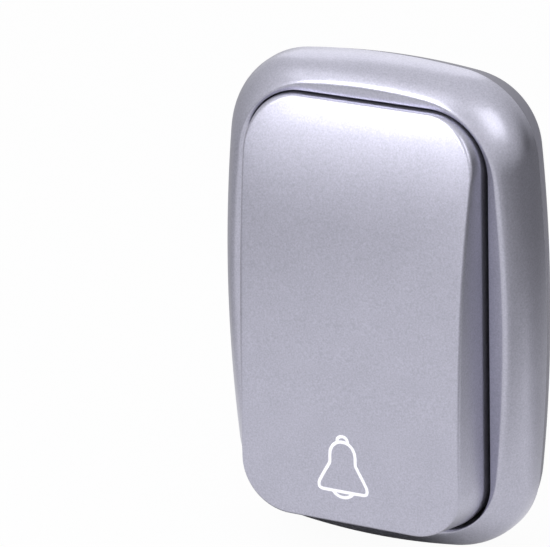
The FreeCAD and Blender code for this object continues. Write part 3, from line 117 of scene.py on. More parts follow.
def linear(code: str) -> tuple[float, float, float, float]:
    """Turns an sRGB hex colour into linear RGBA.

    Args:
        code: six hex digits, with or without a leading #.

    Returns:
        Linear red, green and blue, and an alpha of 1.
    """
    parts = [int(code.lstrip("#")[k:k + 2], 16) / 255.0 for k in (0, 2, 4)]
    red, green, blue = (p / 12.92 if p <= 0.04045 else ((p + 0.055) / 1.055) ** 2.4 for p in parts)
    return red, green, blue, 1.0


def per_metre(millimetres: float) -> float:
    """Texture scale that gives features of this size on coordinates in metres."""
    return 1.0 / (millimetres * MM)


# Finishes


class Relief(Enum):
    """Small surface shapes that a finish can have."""

    ORANGE_PEEL = "orange peel of a sprayed coat"
    SPARK = "spark-eroded mould texture"
    DRAWN = "fine lines along the drawing direction"
    CELLS = "closed foam cells"
    CLOTH = "glass cloth under a lacquer"


@dataclass(frozen=True)
class Finish:
    """A real surface: its two tones, its gloss and the small shapes on it.

    The tones are mixed by a fine grain and by a soft cloud, so that no surface is one flat colour.
    """

    name: str
    light: str
    dark: str
    grain: float
    cloud: float
    roughness: tuple[float, float]
    metallic: float = 0.0
    ior: float = 1.5
    relief: Relief = Relief.SPARK
    relief_size: float = 0.3
    relief_depth: float = 0.01
    relief_strength: float = 0.3
    coat: float = 0.0
    coat_roughness: float = 0.1
    cloud_share: float = 0.35

    def height(self, tree: bpy.types.NodeTree, place: bpy.types.NodeSocket) -> bpy.types.NodeSocket:
        """The relief's height pattern.

        Args:
            tree: the material's node tree.
            place: object coordinates.

        Returns:
            The socket that carries the height.
        """
        scale = per_metre(self.relief_size)
        if self.relief is Relief.CELLS:
            cells = add_node(tree, "ShaderNodeTexVoronoi", {"feature": "SMOOTH_F1"}, {
                "Vector": place, "Scale": scale, "Smoothness": 0.3})
            return cells.outputs["Distance"]
        if self.relief is Relief.DRAWN:
            stretch = add_node(tree, "ShaderNodeMapping", None, {"Vector": place, "Scale": (0.05, 1.0, 1.0)})
            lines = add_node(tree, "ShaderNodeTexNoise", None, {
                "Vector": stretch.outputs["Vector"], "Scale": scale, "Detail": 3.0})
            return lines.outputs["Fac"]
        if self.relief is Relief.CLOTH:
            warp = add_node(tree, "ShaderNodeTexWave", {"bands_direction": "X"}, {
                "Vector": place, "Scale": scale * 0.5, "Distortion": 0.6})
            weft = add_node(tree, "ShaderNodeTexWave", {"bands_direction": "Z"}, {
                "Vector": place, "Scale": scale * 0.5, "Distortion": 0.6})
            both = add_node(tree, "ShaderNodeMath", {"operation": "MULTIPLY"}, {
                0: warp.outputs["Fac"], 1: weft.outputs["Fac"]})
            return both.outputs["Value"]
        detail = 1.0 if self.relief is Relief.ORANGE_PEEL else 4.0
        bumps = add_node(tree, "ShaderNodeTexNoise", None, {
            "Vector": place, "Scale": scale, "Detail": detail})
        return bumps.outputs["Fac"]

    def build(self) -> bpy.types.Material:
        """Makes the material, or returns it where it is made already.

        Returns:
            The node-based material.
        """
        known = bpy.data.materials.get(self.name)
        if known is not None:
            return known
        material = bpy.data.materials.new(self.name)
        material.use_nodes = True
        tree = material.node_tree
        tree.nodes.clear()
        place = add_node(tree, "ShaderNodeTexCoord").outputs["Object"]
        grain = add_node(tree, "ShaderNodeTexNoise", None, {
            "Vector": place, "Scale": per_metre(self.grain), "Detail": 2.0, "Roughness": 0.6})
        cloud = add_node(tree, "ShaderNodeTexNoise", None, {
            "Vector": place, "Scale": per_metre(self.cloud), "Detail": 2.0})
        share = add_node(tree, "ShaderNodeMix", {"data_type": "FLOAT"}, {
            0: self.cloud_share, 2: grain.outputs["Fac"], 3: cloud.outputs["Fac"]})
        tones = add_node(tree, "ShaderNodeValToRGB", None, {"Fac": share.outputs[0]})
        tones.color_ramp.elements[0].position = NOISE_LOW
        tones.color_ramp.elements[0].color = linear(self.dark)
        tones.color_ramp.elements[1].position = NOISE_HIGH
        tones.color_ramp.elements[1].color = linear(self.light)
        gloss = add_node(tree, "ShaderNodeMapRange", None, {
            "Value": grain.outputs["Fac"], "From Min": NOISE_LOW, "From Max": NOISE_HIGH,
            "To Min": self.roughness[0], "To Max": self.roughness[1]})
        bump = add_node(tree, "ShaderNodeBump", None, {
            "Strength": self.relief_strength, "Distance": self.relief_depth * MM,
            "Height": self.height(tree, place)})
        shader = add_node(tree, "ShaderNodeBsdfPrincipled", None, {
            "Base Color": tones.outputs["Color"], "Roughness": gloss.outputs["Result"],
            "Metallic": self.metallic, "IOR": self.ior, "Normal": bump.outputs["Normal"],
            "Coat Weight": self.coat, "Coat Roughness": self.coat_roughness})
        add_node(tree, "ShaderNodeOutputMaterial", None, {"Surface": shader.outputs["BSDF"]})
        return material


# Two-coat satin lacquer with aluminium flake, sprayed on moulded ABS: a soft sheen, a fine sparkle
# that is drawn at 0.3 mm (real flake is about 0.02 mm) and a barely seen orange peel of 1.4 mm.
PLATE_LACQUER = Finish(
    "sprayed_satin_lacquer_plate", "#C2C1D1", "#AAAAB8", grain=0.3, cloud=6.0, roughness=(0.28, 0.31),
    metallic=0.88, relief=Relief.ORANGE_PEEL, relief_size=1.4, relief_depth=0.010, relief_strength=0.08,
    cloud_share=0.15)
# The same lacquer on the rim, its light tone a touch darker than the plate's: painted shade of the curved
# rim.
RIM_LACQUER = Finish(
    "sprayed_satin_lacquer_rim", "#C1C0CF", "#AAAAB8", grain=0.3, cloud=6.0, roughness=(0.28, 0.31),
    metallic=0.88, relief=Relief.ORANGE_PEEL, relief_size=1.4, relief_depth=0.010, relief_strength=0.08,
    cloud_share=0.15)
# ABS moulded in a spark-eroded tool: even, matte, with a 0.25 mm pebble that breaks the highlight. Its dark
# lavender grey is the cover's own colour, darkened further by painted shade.
BACK_ABS = Finish(
    "moulded_matte_abs_grey", "#7F7E8B", "#757480", grain=0.25, cloud=9.0, roughness=(0.48, 0.58),
    relief_size=0.25, relief_depth=0.012, relief_strength=0.35)
# Plain moulded ABS of the wall plate: lighter, with faint flow clouds.
WALL_ABS = Finish(
    "moulded_plain_abs_light", "#CFCFD2", "#C3C3C6", grain=0.3, cloud=12.0, roughness=(0.42, 0.52),
    relief_size=0.3, relief_depth=0.008, relief_strength=0.3)
# Inner deck in matte black ABS; its black is painted shade, which keeps the gap round the plate dark.
DECK_ABS = Finish(
    "moulded_matte_abs_black", "#27272B", "#1C1C20", grain=0.25, cloud=8.0, roughness=(0.55, 0.65),
    relief_size=0.25, relief_depth=0.012, relief_strength=0.35)
# Natural acetal of the generator: waxy, warm white, slightly glossy.
ACETAL = Finish(
    "moulded_acetal_natural", "#EFEDE4", "#E4E1D6", grain=0.4, cloud=5.0, roughness=(0.32, 0.42),
    ior=1.48, relief_size=0.4, relief_depth=0.006, relief_strength=0.25)
# Closed-cell polyethylene foam tape: bright, dry and pitted with 0.45 mm cells.
FOAM = Finish(
    "closed_cell_foam_white", "#F1F1EC", "#E0E0DA", grain=0.5, cloud=6.0, roughness=(0.85, 0.95),
    relief=Relief.CELLS, relief_size=0.45, relief_depth=0.06, relief_strength=0.6)
# Moulded silicone rubber: nearly black, soft gloss, faint talc bloom.
RUBBER = Finish(
    "moulded_silicone_black", "#34343A", "#242428", grain=0.3, cloud=4.0, roughness=(0.55, 0.7),
    ior=1.43, relief_size=0.3, relief_depth=0.01, relief_strength=0.3)
# Ground bright steel of the pins: fine lines along the axis.
PIN_STEEL = Finish(
    "ground_steel_pin", "#CFD0D3", "#BEBFC3", grain=0.2, cloud=3.0, roughness=(0.18, 0.28),
    metallic=1.0, relief=Relief.DRAWN, relief_size=0.08, relief_depth=0.004, relief_strength=0.3)
# Drawn music wire: darker steel with lines along the wire.
SPRING_WIRE = Finish(
    "drawn_spring_wire", "#BDBFC4", "#A8AAB0", grain=0.15, cloud=2.0, roughness=(0.22, 0.34),
    metallic=1.0, relief=Relief.DRAWN, relief_size=0.08, relief_depth=0.004, relief_strength=0.3)
# Zinc plate on steel screws: pale, faintly bluish, slightly cloudy.
ZINC = Finish(
    "zinc_plated_screw", "#D8DADD", "#C2C6CC", grain=0.12, cloud=1.2, roughness=(0.24, 0.38),
    metallic=1.0, relief_size=0.15, relief_depth=0.004, relief_strength=0.25)
# Annealed soft iron, pressed: dull grey with a satin scale.
IRON = Finish(
    "annealed_soft_iron", "#B0B2B6", "#9A9CA1", grain=0.2, cloud=2.0, roughness=(0.38, 0.5),
    metallic=1.0, relief_size=0.2, relief_depth=0.006, relief_strength=0.3)
# Nickel plate of the magnets: bright and slightly warm.
NICKEL = Finish(
    "nickel_plate", "#D9D7D0", "#C9C7C0", grain=0.15, cloud=2.5, roughness=(0.14, 0.24),
    metallic=1.0, relief_size=0.2, relief_depth=0.003, relief_strength=0.2)
# Enamelled copper wire: orange-red metal under a clear glossy enamel.
COPPER = Finish(
    "enamelled_copper_wire", "#DD9A63", "#C8824C", grain=0.15, cloud=2.0, roughness=(0.2, 0.3),
    metallic=1.0, relief=Relief.DRAWN, relief_size=0.1, relief_depth=0.003, relief_strength=0.2, coat=0.6)
# Green solder lacquer over glass cloth: the weave, drawn at 0.5 mm, shows through as a soft relief.
LAMINATE = Finish(
    "lacquered_glass_laminate", "#2C8250", "#206B40", grain=0.3, cloud=3.0, roughness=(0.22, 0.32),
    relief=Relief.CLOTH, relief_size=0.5, relief_depth=0.006, relief_strength=0.3, coat=0.3)
# Black epoxy moulding compound of the small parts: matte with a fine filler grain.
EPOXY = Finish(
    "moulded_epoxy_black", "#2B2B2E", "#1F1F22", grain=0.12, cloud=1.5, roughness=(0.5, 0.62),
    relief_size=0.12, relief_depth=0.006, relief_strength=0.3)
# Shrink sleeve of the capacitor: dark blue and glossy.
SLEEVE = Finish(
    "shrink_sleeve_blue", "#3A4676", "#2D3863", grain=0.3, cloud=2.0, roughness=(0.2, 0.3),
    relief=Relief.ORANGE_PEEL, relief_size=0.8, relief_depth=0.006, relief_strength=0.2)
# Fired ceramic blocks: sand-coloured and dry.
CERAMIC = Finish(
    "fired_ceramic", "#CDBDA3", "#BCAA90", grain=0.1, cloud=0.8, roughness=(0.5, 0.6),
    relief_size=0.1, relief_depth=0.004, relief_strength=0.3)
# White pad-printing ink: opaque, satin, with a slightly uneven film.
INK = Finish(
    "pad_printed_ink_white", "#FAF9FE", "#F1F0F6", grain=0.2, cloud=2.0, roughness=(0.4, 0.5),
    relief=Relief.ORANGE_PEEL, relief_size=0.3, relief_depth=0.002, relief_strength=0.2)


# Outlines, rings and tools


@dataclass(frozen=True)
class Outline:
    """A rounded outline with straight or bowed edges; the corners at the foot can have their own radius."""

    half_width: float
    half_height: float
    corner: float
    side_bow: float = 0.0
    end_bow: float = 0.0
    middle: float = 0.0
    foot_corner: float = 0.0

    def inset(self, amount: float) -> "Outline":
        """Draws the outline in evenly.

        Args:
            amount: how far, in millimetres.

        Returns:
            The smaller outline.
        """
        return Outline(
            self.half_width - amount, self.half_height - amount, self.corner - amount,
            self.side_bow - amount if self.side_bow else 0.0, self.end_bow - amount if self.end_bow else 0.0,
            self.middle, self.foot_corner - amount if self.foot_corner else 0.0)

    def corner_centre(self, corner: float) -> Spot:
        """Finds the centre of a corner's arc, which is tangent to both edges.

        Args:
            corner: the corner's radius.

        Returns:
            The centre in the upper right-hand quarter.
        """
        x = self.half_width - corner
        z = self.half_height - corner
        for _ in range(ROUNDS):
            if self.side_bow:
                x = self.half_width - self.side_bow + math.sqrt((self.side_bow - corner) ** 2 - z * z)
            if self.end_bow:
                z = self.half_height - self.end_bow + math.sqrt((self.end_bow - corner) ** 2 - x * x)
        return x, z

    def quarter(self, corner: float, side: int, bend: int, end: int) -> list[Spot]:
        """Points from the right-hand middle to the top.

        Args:
            corner: the corner's radius.
            side: steps along half of a side.
            bend: steps round the corner.
            end: steps along half of an end.

        Returns:
            Side + bend + end points; the one at the very top is left out.
        """
        x, z = self.corner_centre(corner)
        start, stop = 0.0, math.pi * 0.5
        if self.side_bow:
            start = math.atan2(z, x - self.half_width + self.side_bow)
        if self.end_bow:
            stop = math.atan2(z - self.half_height + self.end_bow, x)
        made: list[Spot] = []
        for k in range(side):
            turn = start * k / side
            if self.side_bow:
                reach = self.half_width - self.side_bow + self.side_bow * math.cos(turn)
                made.append((reach, self.side_bow * math.sin(turn)))
            else:
                made.append((self.half_width, z * k / side))
        for k in range(bend):
            turn = start + (stop - start) * k / bend
            made.append((x + corner * math.cos(turn), z + corner * math.sin(turn)))
        for k in range(end):
            turn = stop + (math.pi * 0.5 - stop) * k / end
            if self.end_bow:
                reach = self.half_height - self.end_bow + self.end_bow * math.sin(turn)
                made.append((self.end_bow * math.cos(turn), reach))
            else:
                made.append((x * (1 - k / end), self.half_height))
        return made

    def points(self, side: int = 12, bend: int = 20, end: int = 9) -> list[Spot]:
        """Points once round, from the right-hand middle over the top.

        Args:
            side: steps along half of a side.
            bend: steps round a corner.
            end: steps along half of an end.

        Returns:
            Four times side + bend + end points, alike for every outline.
        """
        upper = self.quarter(self.corner, side, bend, end)
        lower = self.quarter(self.foot_corner or self.corner, side, bend, end)
        once = upper + [(0.0, self.half_height)] + [(-x, z) for x, z in reversed(upper[1:])]
        once += [(-upper[0][0], 0.0)] + [(-x, -z) for x, z in lower[1:]] + [(0.0, -self.half_height)]
        once += [(x, -z) for x, z in reversed(lower[1:])]
        return [(x, z + self.middle) for x, z in once]

    def ring(self, depth: float) -> Ring:
        """The outline's points at one depth."""
        return [at(x, depth, z) for x, z in self.points()]


def soften(rings: list[Ring], radii: dict[int, float], closed: bool = False, steps: int = 4) -> list[Ring]:
    """Rounds the ridge along chosen rings.

    Args:
        rings: rings of equal length, in order along the section.
        radii: how far the rounding reaches to each side, in millimetres, by ring number.
        closed: whether the last ring is followed by the first.
        steps: faces across each rounding.

    Returns:
        The rings with each chosen one turned into steps + 1 rings.
    """
    made: list[Ring] = []
    for index, ring in enumerate(rings):
        reach = radii.get(index, 0.0) * MM
        if not reach or (not closed and index in (0, len(rings) - 1)):
            made.append(ring)
            continue
        before, after = rings[index - 1], rings[(index + 1) % len(rings)]
        for step in range(steps + 1):
            t = step / steps
            row: Ring = []
            for p, b, a in zip(ring, before, after):
                back, on = b - p, a - p
                first = p + back.normalized() * min(reach, back.length * ROUND_LIMIT)
                last = p + on.normalized() * min(reach, on.length * ROUND_LIMIT)
                row.append(first * (1 - t) ** 2 + p * (2 * t * (1 - t)) + last * t * t)
            made.append(row)
    return made


def new_object(name: str, mesh: bpy.types.Mesh) -> bpy.types.Object:
    """Puts a mesh in the scene as an object at the origin.

    Args:
        name: the object's name.
        mesh: its mesh.

    Returns:
        The object.
    """
    thing = bpy.data.objects.new(name, mesh)
    bpy.context.scene.collection.objects.link(thing)
    return thing


def from_bmesh(name: str, work: bmesh.types.BMesh) -> bpy.types.Object:
    """Turns a closed bmesh into an object with outward faces and smooth shading.

    Args:
        name: the object's name.
        work: the bmesh, which is freed.

    Returns:
        The new object.
    """
    bmesh.ops.remove_doubles(work, verts=work.verts, dist=SAME_PLACE)
    bmesh.ops.recalc_face_normals(work, faces=work.faces)
    mesh = bpy.data.meshes.new(name)
    work.to_mesh(mesh)
    work.free()
    mesh.shade_smooth()
    mesh.set_sharp_from_angle(angle=math.radians(CREASE))
    return new_object(name, mesh)


def stack(name: str, rings: list[Ring], poles: tuple[Vector, Vector] | None = None) -> bpy.types.Object:
    """Skins a stack of rings.

    Args:
        name: the object's name.
        rings: rings of equal length.
        poles: middle points that close both ends; without them the last ring joins the first.

    Returns:
        The closed mesh as an object.
    """
    work = bmesh.new()
    rows = [[work.verts.new(p) for p in ring] for ring in rings]
    count = len(rows[0])
    pairs = list(zip(rows, rows[1:])) + ([] if poles else [(rows[-1], rows[0])])
    for low, high in pairs:
        for k in range(count):
            work.faces.new((low[k], low[(k + 1) % count], high[(k + 1) % count], high[k]))
    if poles:
        for pole, row in ((poles[0], rows[0]), (poles[1], rows[-1])):
            tip = work.verts.new(pole)
            for k in range(count):
                work.faces.new((tip, row[k], row[(k + 1) % count]))
    return from_bmesh(name, work)


def block(low: Vector, high: Vector, ease: float = 0.12) -> bpy.types.Object:
    """Makes a block with eased edges, for joining to a piece or cutting from it.

    Args:
        low: one corner.
        high: the opposite corner.
        ease: width of the eased edges in millimetres.

    Returns:
        The closed tool.
    """
    work = bmesh.new()
    bmesh.ops.create_cube(work, size=1.0)
    middle, span = (low + high) * 0.5, high - low
    size = Vector([abs(value) for value in span])
    bmesh.ops.transform(work, matrix=Matrix.LocRotScale(middle, None, size), verts=work.verts)
    bmesh.ops.bevel(work, geom=work.edges[:], offset=ease * MM, segments=2, affect="EDGES", profile=0.5)
    return from_bmesh("tool", work)


def rod(start: Vector, end: Vector, radius: float, ease: float = 0.1, sides: int = 40) -> bpy.types.Object:
    """Makes a round rod, for joining to a piece or cutting from it.

    Args:
        start: middle of one end.
        end: middle of the other end.
        radius: the rod's radius in millimetres.
        ease: width of the eased ends in millimetres; 0 leaves them sharp.
        sides: faces round the rod.

    Returns:
        The closed tool.
    """
    along = end - start
    work = bmesh.new()
    turn = along.to_track_quat("Z", "Y").to_matrix().to_4x4()
    bmesh.ops.create_cone(
        work, cap_ends=True, segments=sides, radius1=radius * MM, radius2=radius * MM, depth=along.length,
        matrix=Matrix.Translation((start + end) * 0.5) @ turn)
    if ease:
        rims = [edge for edge in work.edges if any(len(face.verts) > 4 for face in edge.link_faces)]
        bmesh.ops.bevel(work, geom=rims, offset=ease * MM, segments=2, affect="EDGES", profile=0.5)
    return from_bmesh("tool", work)


def stud(
    x: float, z: float, back: float, front: float, radius: float, ease: float = 0.1, sides: int = 40
) -> bpy.types.Object:
    """Makes a rod that points straight out from the wall.

    Args:
        x: place across, in millimetres as all that follow.
        z: height.
        back: depth at which it starts.
        front: depth at which it ends.
        radius: its radius.
        ease: width of its eased ends.
        sides: faces round it.

    Returns:
        The closed tool.
    """
    return rod(at(x, back, z), at(x, front, z), radius, ease, sides)


def four(x: float, z: float) -> list[Spot]:
    """The four places that lie this far to the sides and this far up and down."""
    return [(x * side, z * end) for side in (-1, 1) for end in (-1, 1)]


def settle(thing: bpy.types.Object) -> None:
    """Applies an object's modifiers to a plain mesh of its own.

    Args:
        thing: the object, which keeps no modifier.
    """
    made = bpy.data.meshes.new_from_object(thing.evaluated_get(bpy.context.evaluated_depsgraph_get()))
    thing.modifiers.clear()
    old, thing.data = thing.data, made
    bpy.data.meshes.remove(old)


def combine(base: bpy.types.Object, tools: list[bpy.types.Object], operation: str) -> None:
    """Joins tools to a piece or cuts them from it.

    Args:
        base: the piece that is changed.
        tools: closed objects, which are removed afterwards.
        operation: UNION or DIFFERENCE.
    """
    group = bpy.data.collections.new("tools")
    bpy.context.scene.collection.children.link(group)
    for tool in tools:
        group.objects.link(tool)
        bpy.context.scene.collection.objects.unlink(tool)
    change = base.modifiers.new("Combine", "BOOLEAN")
    change.operation = operation
    change.solver = "EXACT"
    change.operand_type = "COLLECTION"
    change.collection = group
    settle(base)
    for tool in tools:
        mesh = tool.data
        bpy.data.objects.remove(tool)
        bpy.data.meshes.remove(mesh)
    bpy.data.collections.remove(group)


def polish(thing: bpy.types.Object) -> None:
    """Shades a finished mesh smoothly, with large faces leading the normals, and keeps its creases.

    Args:
        thing: the piece.
    """
    thing.data.shade_smooth()
    thing.data.set_sharp_from_angle(angle=math.radians(CREASE))
    even = thing.modifiers.new("Even", "WEIGHTED_NORMAL")
    even.keep_sharp = True
    even.weight = 80
    settle(thing)


def fit(piece: bpy.types.Object, body: Body, slot: str, finish: Finish, *nodes: str) -> bpy.types.Object:
    """Dresses a finished piece and hands it to the frame.

    Args:
        piece: the piece, at its place in the frame.
        body: what it rides on.
        slot: the record's material slot; not used.
        finish: its surface.
        nodes: CAD nodes that it stands for.

    Returns:
        The piece.
    """
    piece.data.materials.clear()
    piece.data.materials.append(finish.build())
    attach(piece, body.value)
    if nodes:
        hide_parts(*nodes)
    log.info("%s rides on %s, %d faces", piece.name, body.value, len(piece.data.polygons))
    return piece


# Geometry node trees


def new_tree(name: str, inputs: dict[str, Any]) -> tuple[bpy.types.NodeTree, bpy.types.Node]:
    """Starts a geometry node tree with named inputs.

    Args:
        name: the tree's name.
        inputs: default value of each input by its name; None stands for a material.

    Returns:
        The tree and its group input node.
    """
    kinds = {float: "NodeSocketFloat", int: "NodeSocketInt", type(None): "NodeSocketMaterial"}
    tree = bpy.data.node_groups.new(name, "GeometryNodeTree")
    tree.interface.new_socket("Geometry", in_out="INPUT", socket_type="NodeSocketGeometry")
    for label, value in inputs.items():
        socket = tree.interface.new_socket(label, in_out="INPUT", socket_type=kinds[type(value)])
        if value is not None:
            socket.default_value = value
    tree.interface.new_socket("Geometry", in_out="OUTPUT", socket_type="NodeSocketGeometry")
    return tree, add_node(tree, "NodeGroupInput")


def end_tree(tree: bpy.types.NodeTree, shape: bpy.types.NodeSocket, material: bpy.types.NodeSocket) -> None:
    """Ends a tree in Realize Instances, Set Shade Smooth and Set Material.

    Args:
        tree: the tree.
        shape: the finished geometry.
        material: the material that it gets.
    """
    real = add_node(tree, "GeometryNodeRealizeInstances", None, {"Geometry": shape})
    smooth = add_node(tree, "GeometryNodeSetShadeSmooth", None, {"Geometry": real.outputs["Geometry"]})
    dressed = add_node(tree, "GeometryNodeSetMaterial", None, {
        "Geometry": smooth.outputs["Geometry"], "Material": material})
    add_node(tree, "NodeGroupOutput", None, {"Geometry": dressed.outputs["Geometry"]})


def grow(
    name: str, tree: bpy.types.NodeTree, values: dict[str, Any], path: bpy.types.Mesh | None = None
) -> bpy.types.Object:
    """Runs a geometry node tree and keeps its result as a plain mesh.

    Args:
        name: the new object's name.
        tree: the node tree.
        values: inputs by name.
        path: mesh that the tree starts from.

    Returns:
        The object, with the modifier removed.
    """
    thing = new_object(name, path or bpy.data.meshes.new(name))
    change = thing.modifiers.new("Grow", "NODES")
    change.node_group = tree
    for item in tree.interface.items_tree:
        if item.item_type == "SOCKET" and item.in_out == "INPUT" and item.name in values:
            change[item.identifier] = values[item.name]
    settle(thing)
    thing.data.set_sharp_from_angle(angle=math.radians(CREASE))
    return thing


def path_mesh(
    name: str, line: list[Vector], closed: bool, radii: list[float] | None = None
) -> bpy.types.Mesh:
    """Makes a line of points a mesh of bare edges, which a tree turns into a curve.

    Args:
        name: the mesh's name.
        line: the points.
        closed: whether the line closes on itself.
        radii: a radius for every point, in the points' unit, which the tree can read.

    Returns:
        The mesh.
    """
    edges = [(k, k + 1) for k in range(len(line) - 1)]
    if closed:
        edges.append((len(line) - 1, 0))
    mesh = bpy.data.meshes.new(name)
    mesh.from_pydata(line, edges, [])
    if radii:
        mesh.attributes.new("reach", "FLOAT", "POINT").data.foreach_set("value", radii)
    return mesh


def screw_tree() -> bpy.types.NodeTree:
    """Screws at the four corners of a rectangle, turned from one line, with a cross cut into each head.

    Returns:
        The node tree. The line, which runs along Z from the head's top, and the cross are in millimetres,
        so that the cuts come out clean; the spans and places are in metres.
    """
    tree, given = new_tree("screw_set", {
        "Span X": 0.05, "Span Z": 0.02, "Middle Z": 0.0, "Head Y": -0.006, "Cross Length": 2.0,
        "Cross Width": 0.4, "Cross Depth": 1.2, "Second Depth": 1.16, "Material": None})
    line = add_node(tree, "GeometryNodeMeshToCurve", None, {"Mesh": given.outputs["Geometry"]})
    reach = add_node(tree, "GeometryNodeInputNamedAttribute", {"data_type": "FLOAT"}, {"Name": "reach"})
    ring = add_node(tree, "GeometryNodeCurvePrimitiveCircle", None, {"Resolution": 28, "Radius": 1.0})
    turned = add_node(tree, "GeometryNodeCurveToMesh", None, {
        "Curve": line.outputs["Curve"], "Profile Curve": ring.outputs["Curve"],
        "Scale": reach.outputs["Attribute"], "Fill Caps": True})
    screw = turned.outputs["Mesh"]
    # the second slot is a little shallower, so that the two floors share no plane
    for long, short, deep in (("X", "Y", "Cross Depth"), ("Y", "X", "Second Depth")):
        size = add_node(tree, "ShaderNodeCombineXYZ", None, {
            long: given.outputs["Cross Length"], short: given.outputs["Cross Width"],
            "Z": given.outputs[deep]})
        arm = add_node(tree, "GeometryNodeMeshCube", None, {"Size": size.outputs[0]})
        screw = add_node(tree, "GeometryNodeMeshBoolean", {"operation": "DIFFERENCE"}, {
            "Mesh 1": screw, "Mesh 2": arm.outputs["Mesh"]}).outputs["Mesh"]
    screw = add_node(tree, "GeometryNodeTransform", None, {
        "Geometry": screw, "Scale": (MM, MM, MM)}).outputs["Geometry"]
    corners = add_node(tree, "GeometryNodeMeshGrid", None, {
        "Size X": given.outputs["Span X"], "Size Y": given.outputs["Span Z"],
        "Vertices X": 2, "Vertices Y": 2})
    placed = add_node(tree, "GeometryNodeInstanceOnPoints", None, {
        "Points": corners.outputs["Mesh"], "Instance": screw})
    back = add_node(tree, "ShaderNodeCombineXYZ", None, {
        "Y": given.outputs["Head Y"], "Z": given.outputs["Middle Z"]})
    stood = add_node(tree, "GeometryNodeTransform", None, {
        "Geometry": placed.outputs["Instances"], "Translation": back.outputs[0],
        "Rotation": (math.pi * 0.5, 0.0, 0.0)})
    end_tree(tree, stood.outputs["Geometry"], given.outputs["Material"])
    return tree


def screw_line(head: float, dome: float, shank: float, length: float, pitch: float = 0.6) -> bpy.types.Mesh:
    """A screw's middle line with its radius at every point: domed head, thread and blunt tip.

    Args:
        head: the head's radius in millimetres.
        dome: the head's height.
        shank: the thread's outer radius.
        length: the shank's length.
        pitch: distance from one thread ring to the next.

    Returns:
        The line as a mesh with its radii, in millimetres.
    """
    head_steps, pitch_steps = 12, 8
    crown_share, crown_power, thread_share, tip_share = 0.3, 2.2, 0.2, 0.45
    points, radii = [], []
    for k in range(head_steps + 1):
        share = k / head_steps
        points.append(Vector((0.0, 0.0, dome * share)))
        radii.append(head * (1.0 - crown_share * (1.0 - share) ** crown_power))
    count = int(length / pitch * pitch_steps)
    for k in range(1, count + 1):
        along = length * k / count
        wave = abs((along / pitch) % 1.0 - 0.5) * 2.0
        tip = min(1.0, tip_share + (length - along) / shank)
        points.append(Vector((0.0, 0.0, dome + along)))
        radii.append(shank * (1.0 - thread_share * wave) * tip)
    return path_mesh("screw_line", points, False, radii)


def spring_tree() -> bpy.types.NodeTree:
    """Two compression springs side by side, with closed end turns.

    Returns:
        The node tree. Lengths are in metres.
    """
    tree, given = new_tree("spring_pair", {
        "Mean Radius": 0.0024, "Wire Radius": 0.00025, "Turns": 6.5, "Rise": 0.0065, "First X": -0.0115,
        "First Z": -0.014, "Step X": 0.023, "Seat Y": -0.015, "Material": None})
    coil = add_node(tree, "GeometryNodeCurveSpiral", None, {
        "Resolution": 30, "Rotations": given.outputs["Turns"], "Start Radius": given.outputs["Mean Radius"],
        "End Radius": given.outputs["Mean Radius"], "Height": 0.0})
    share = add_node(tree, "GeometryNodeSplineParameter").outputs["Factor"]
    climb = add_node(tree, "ShaderNodeFloatCurve", None, {"Factor": 1.0, "Value": share})
    points = climb.mapping.curves[0].points
    points[0].location = (0.0, 0.0)
    points[1].location = (1.0, 1.0)
    # the first and last turns lie close, one wire apart
    points.new(0.15, 0.07)
    points.new(0.85, 0.93)
    climb.mapping.update()
    height = add_node(tree, "ShaderNodeMath", {"operation": "MULTIPLY_ADD"}, {
        0: climb.outputs["Value"], 1: given.outputs["Rise"], 2: given.outputs["Wire Radius"]})
    lift = add_node(tree, "ShaderNodeCombineXYZ", None, {"Z": height.outputs["Value"]})
    raised = add_node(tree, "GeometryNodeSetPosition", None, {
        "Geometry": coil.outputs["Curve"], "Offset": lift.outputs[0]})
    ring = add_node(tree, "GeometryNodeCurvePrimitiveCircle", None, {
        "Resolution": 12, "Radius": given.outputs["Wire Radius"]})
    drawn = add_node(tree, "GeometryNodeCurveToMesh", None, {
        "Curve": raised.outputs["Geometry"], "Profile Curve": ring.outputs["Curve"], "Fill Caps": True})
    start = add_node(tree, "ShaderNodeCombineXYZ", None, {
        "X": given.outputs["First X"], "Y": given.outputs["First Z"]})
    step = add_node(tree, "ShaderNodeCombineXYZ", None, {"X": given.outputs["Step X"]})
    pair = add_node(tree, "GeometryNodeMeshLine", None, {
        "Count": 2, "Start Location": start.outputs[0], "Offset": step.outputs[0]})
    placed = add_node(tree, "GeometryNodeInstanceOnPoints", None, {
        "Points": pair.outputs["Mesh"], "Instance": drawn.outputs["Mesh"]})
    back = add_node(tree, "ShaderNodeCombineXYZ", None, {"Y": given.outputs["Seat Y"]})
    stood = add_node(tree, "GeometryNodeTransform", None, {
        "Geometry": placed.outputs["Instances"], "Translation": back.outputs[0],
        "Rotation": (math.pi * 0.5, 0.0, 0.0)})
    end_tree(tree, stood.outputs["Geometry"], given.outputs["Material"])
    return tree


def wire_tree() -> bpy.types.NodeTree:
    """Round wire along a line.

    Returns:
        The node tree. Lengths are in metres.
    """
    tree, given = new_tree("wire_on_path", {"Wire Radius": 0.00016, "Sides": 7, "Material": None})
    line = add_node(tree, "GeometryNodeMeshToCurve", None, {"Mesh": given.outputs["Geometry"]})
    ring = add_node(tree, "GeometryNodeCurvePrimitiveCircle", None, {
        "Resolution": given.outputs["Sides"], "Radius": given.outputs["Wire Radius"]})
    drawn = add_node(tree, "GeometryNodeCurveToMesh", None, {
        "Curve": line.outputs["Curve"], "Profile Curve": ring.outputs["Curve"], "Fill Caps": True})
    end_tree(tree, drawn.outputs["Mesh"], given.outputs["Material"])
    return tree


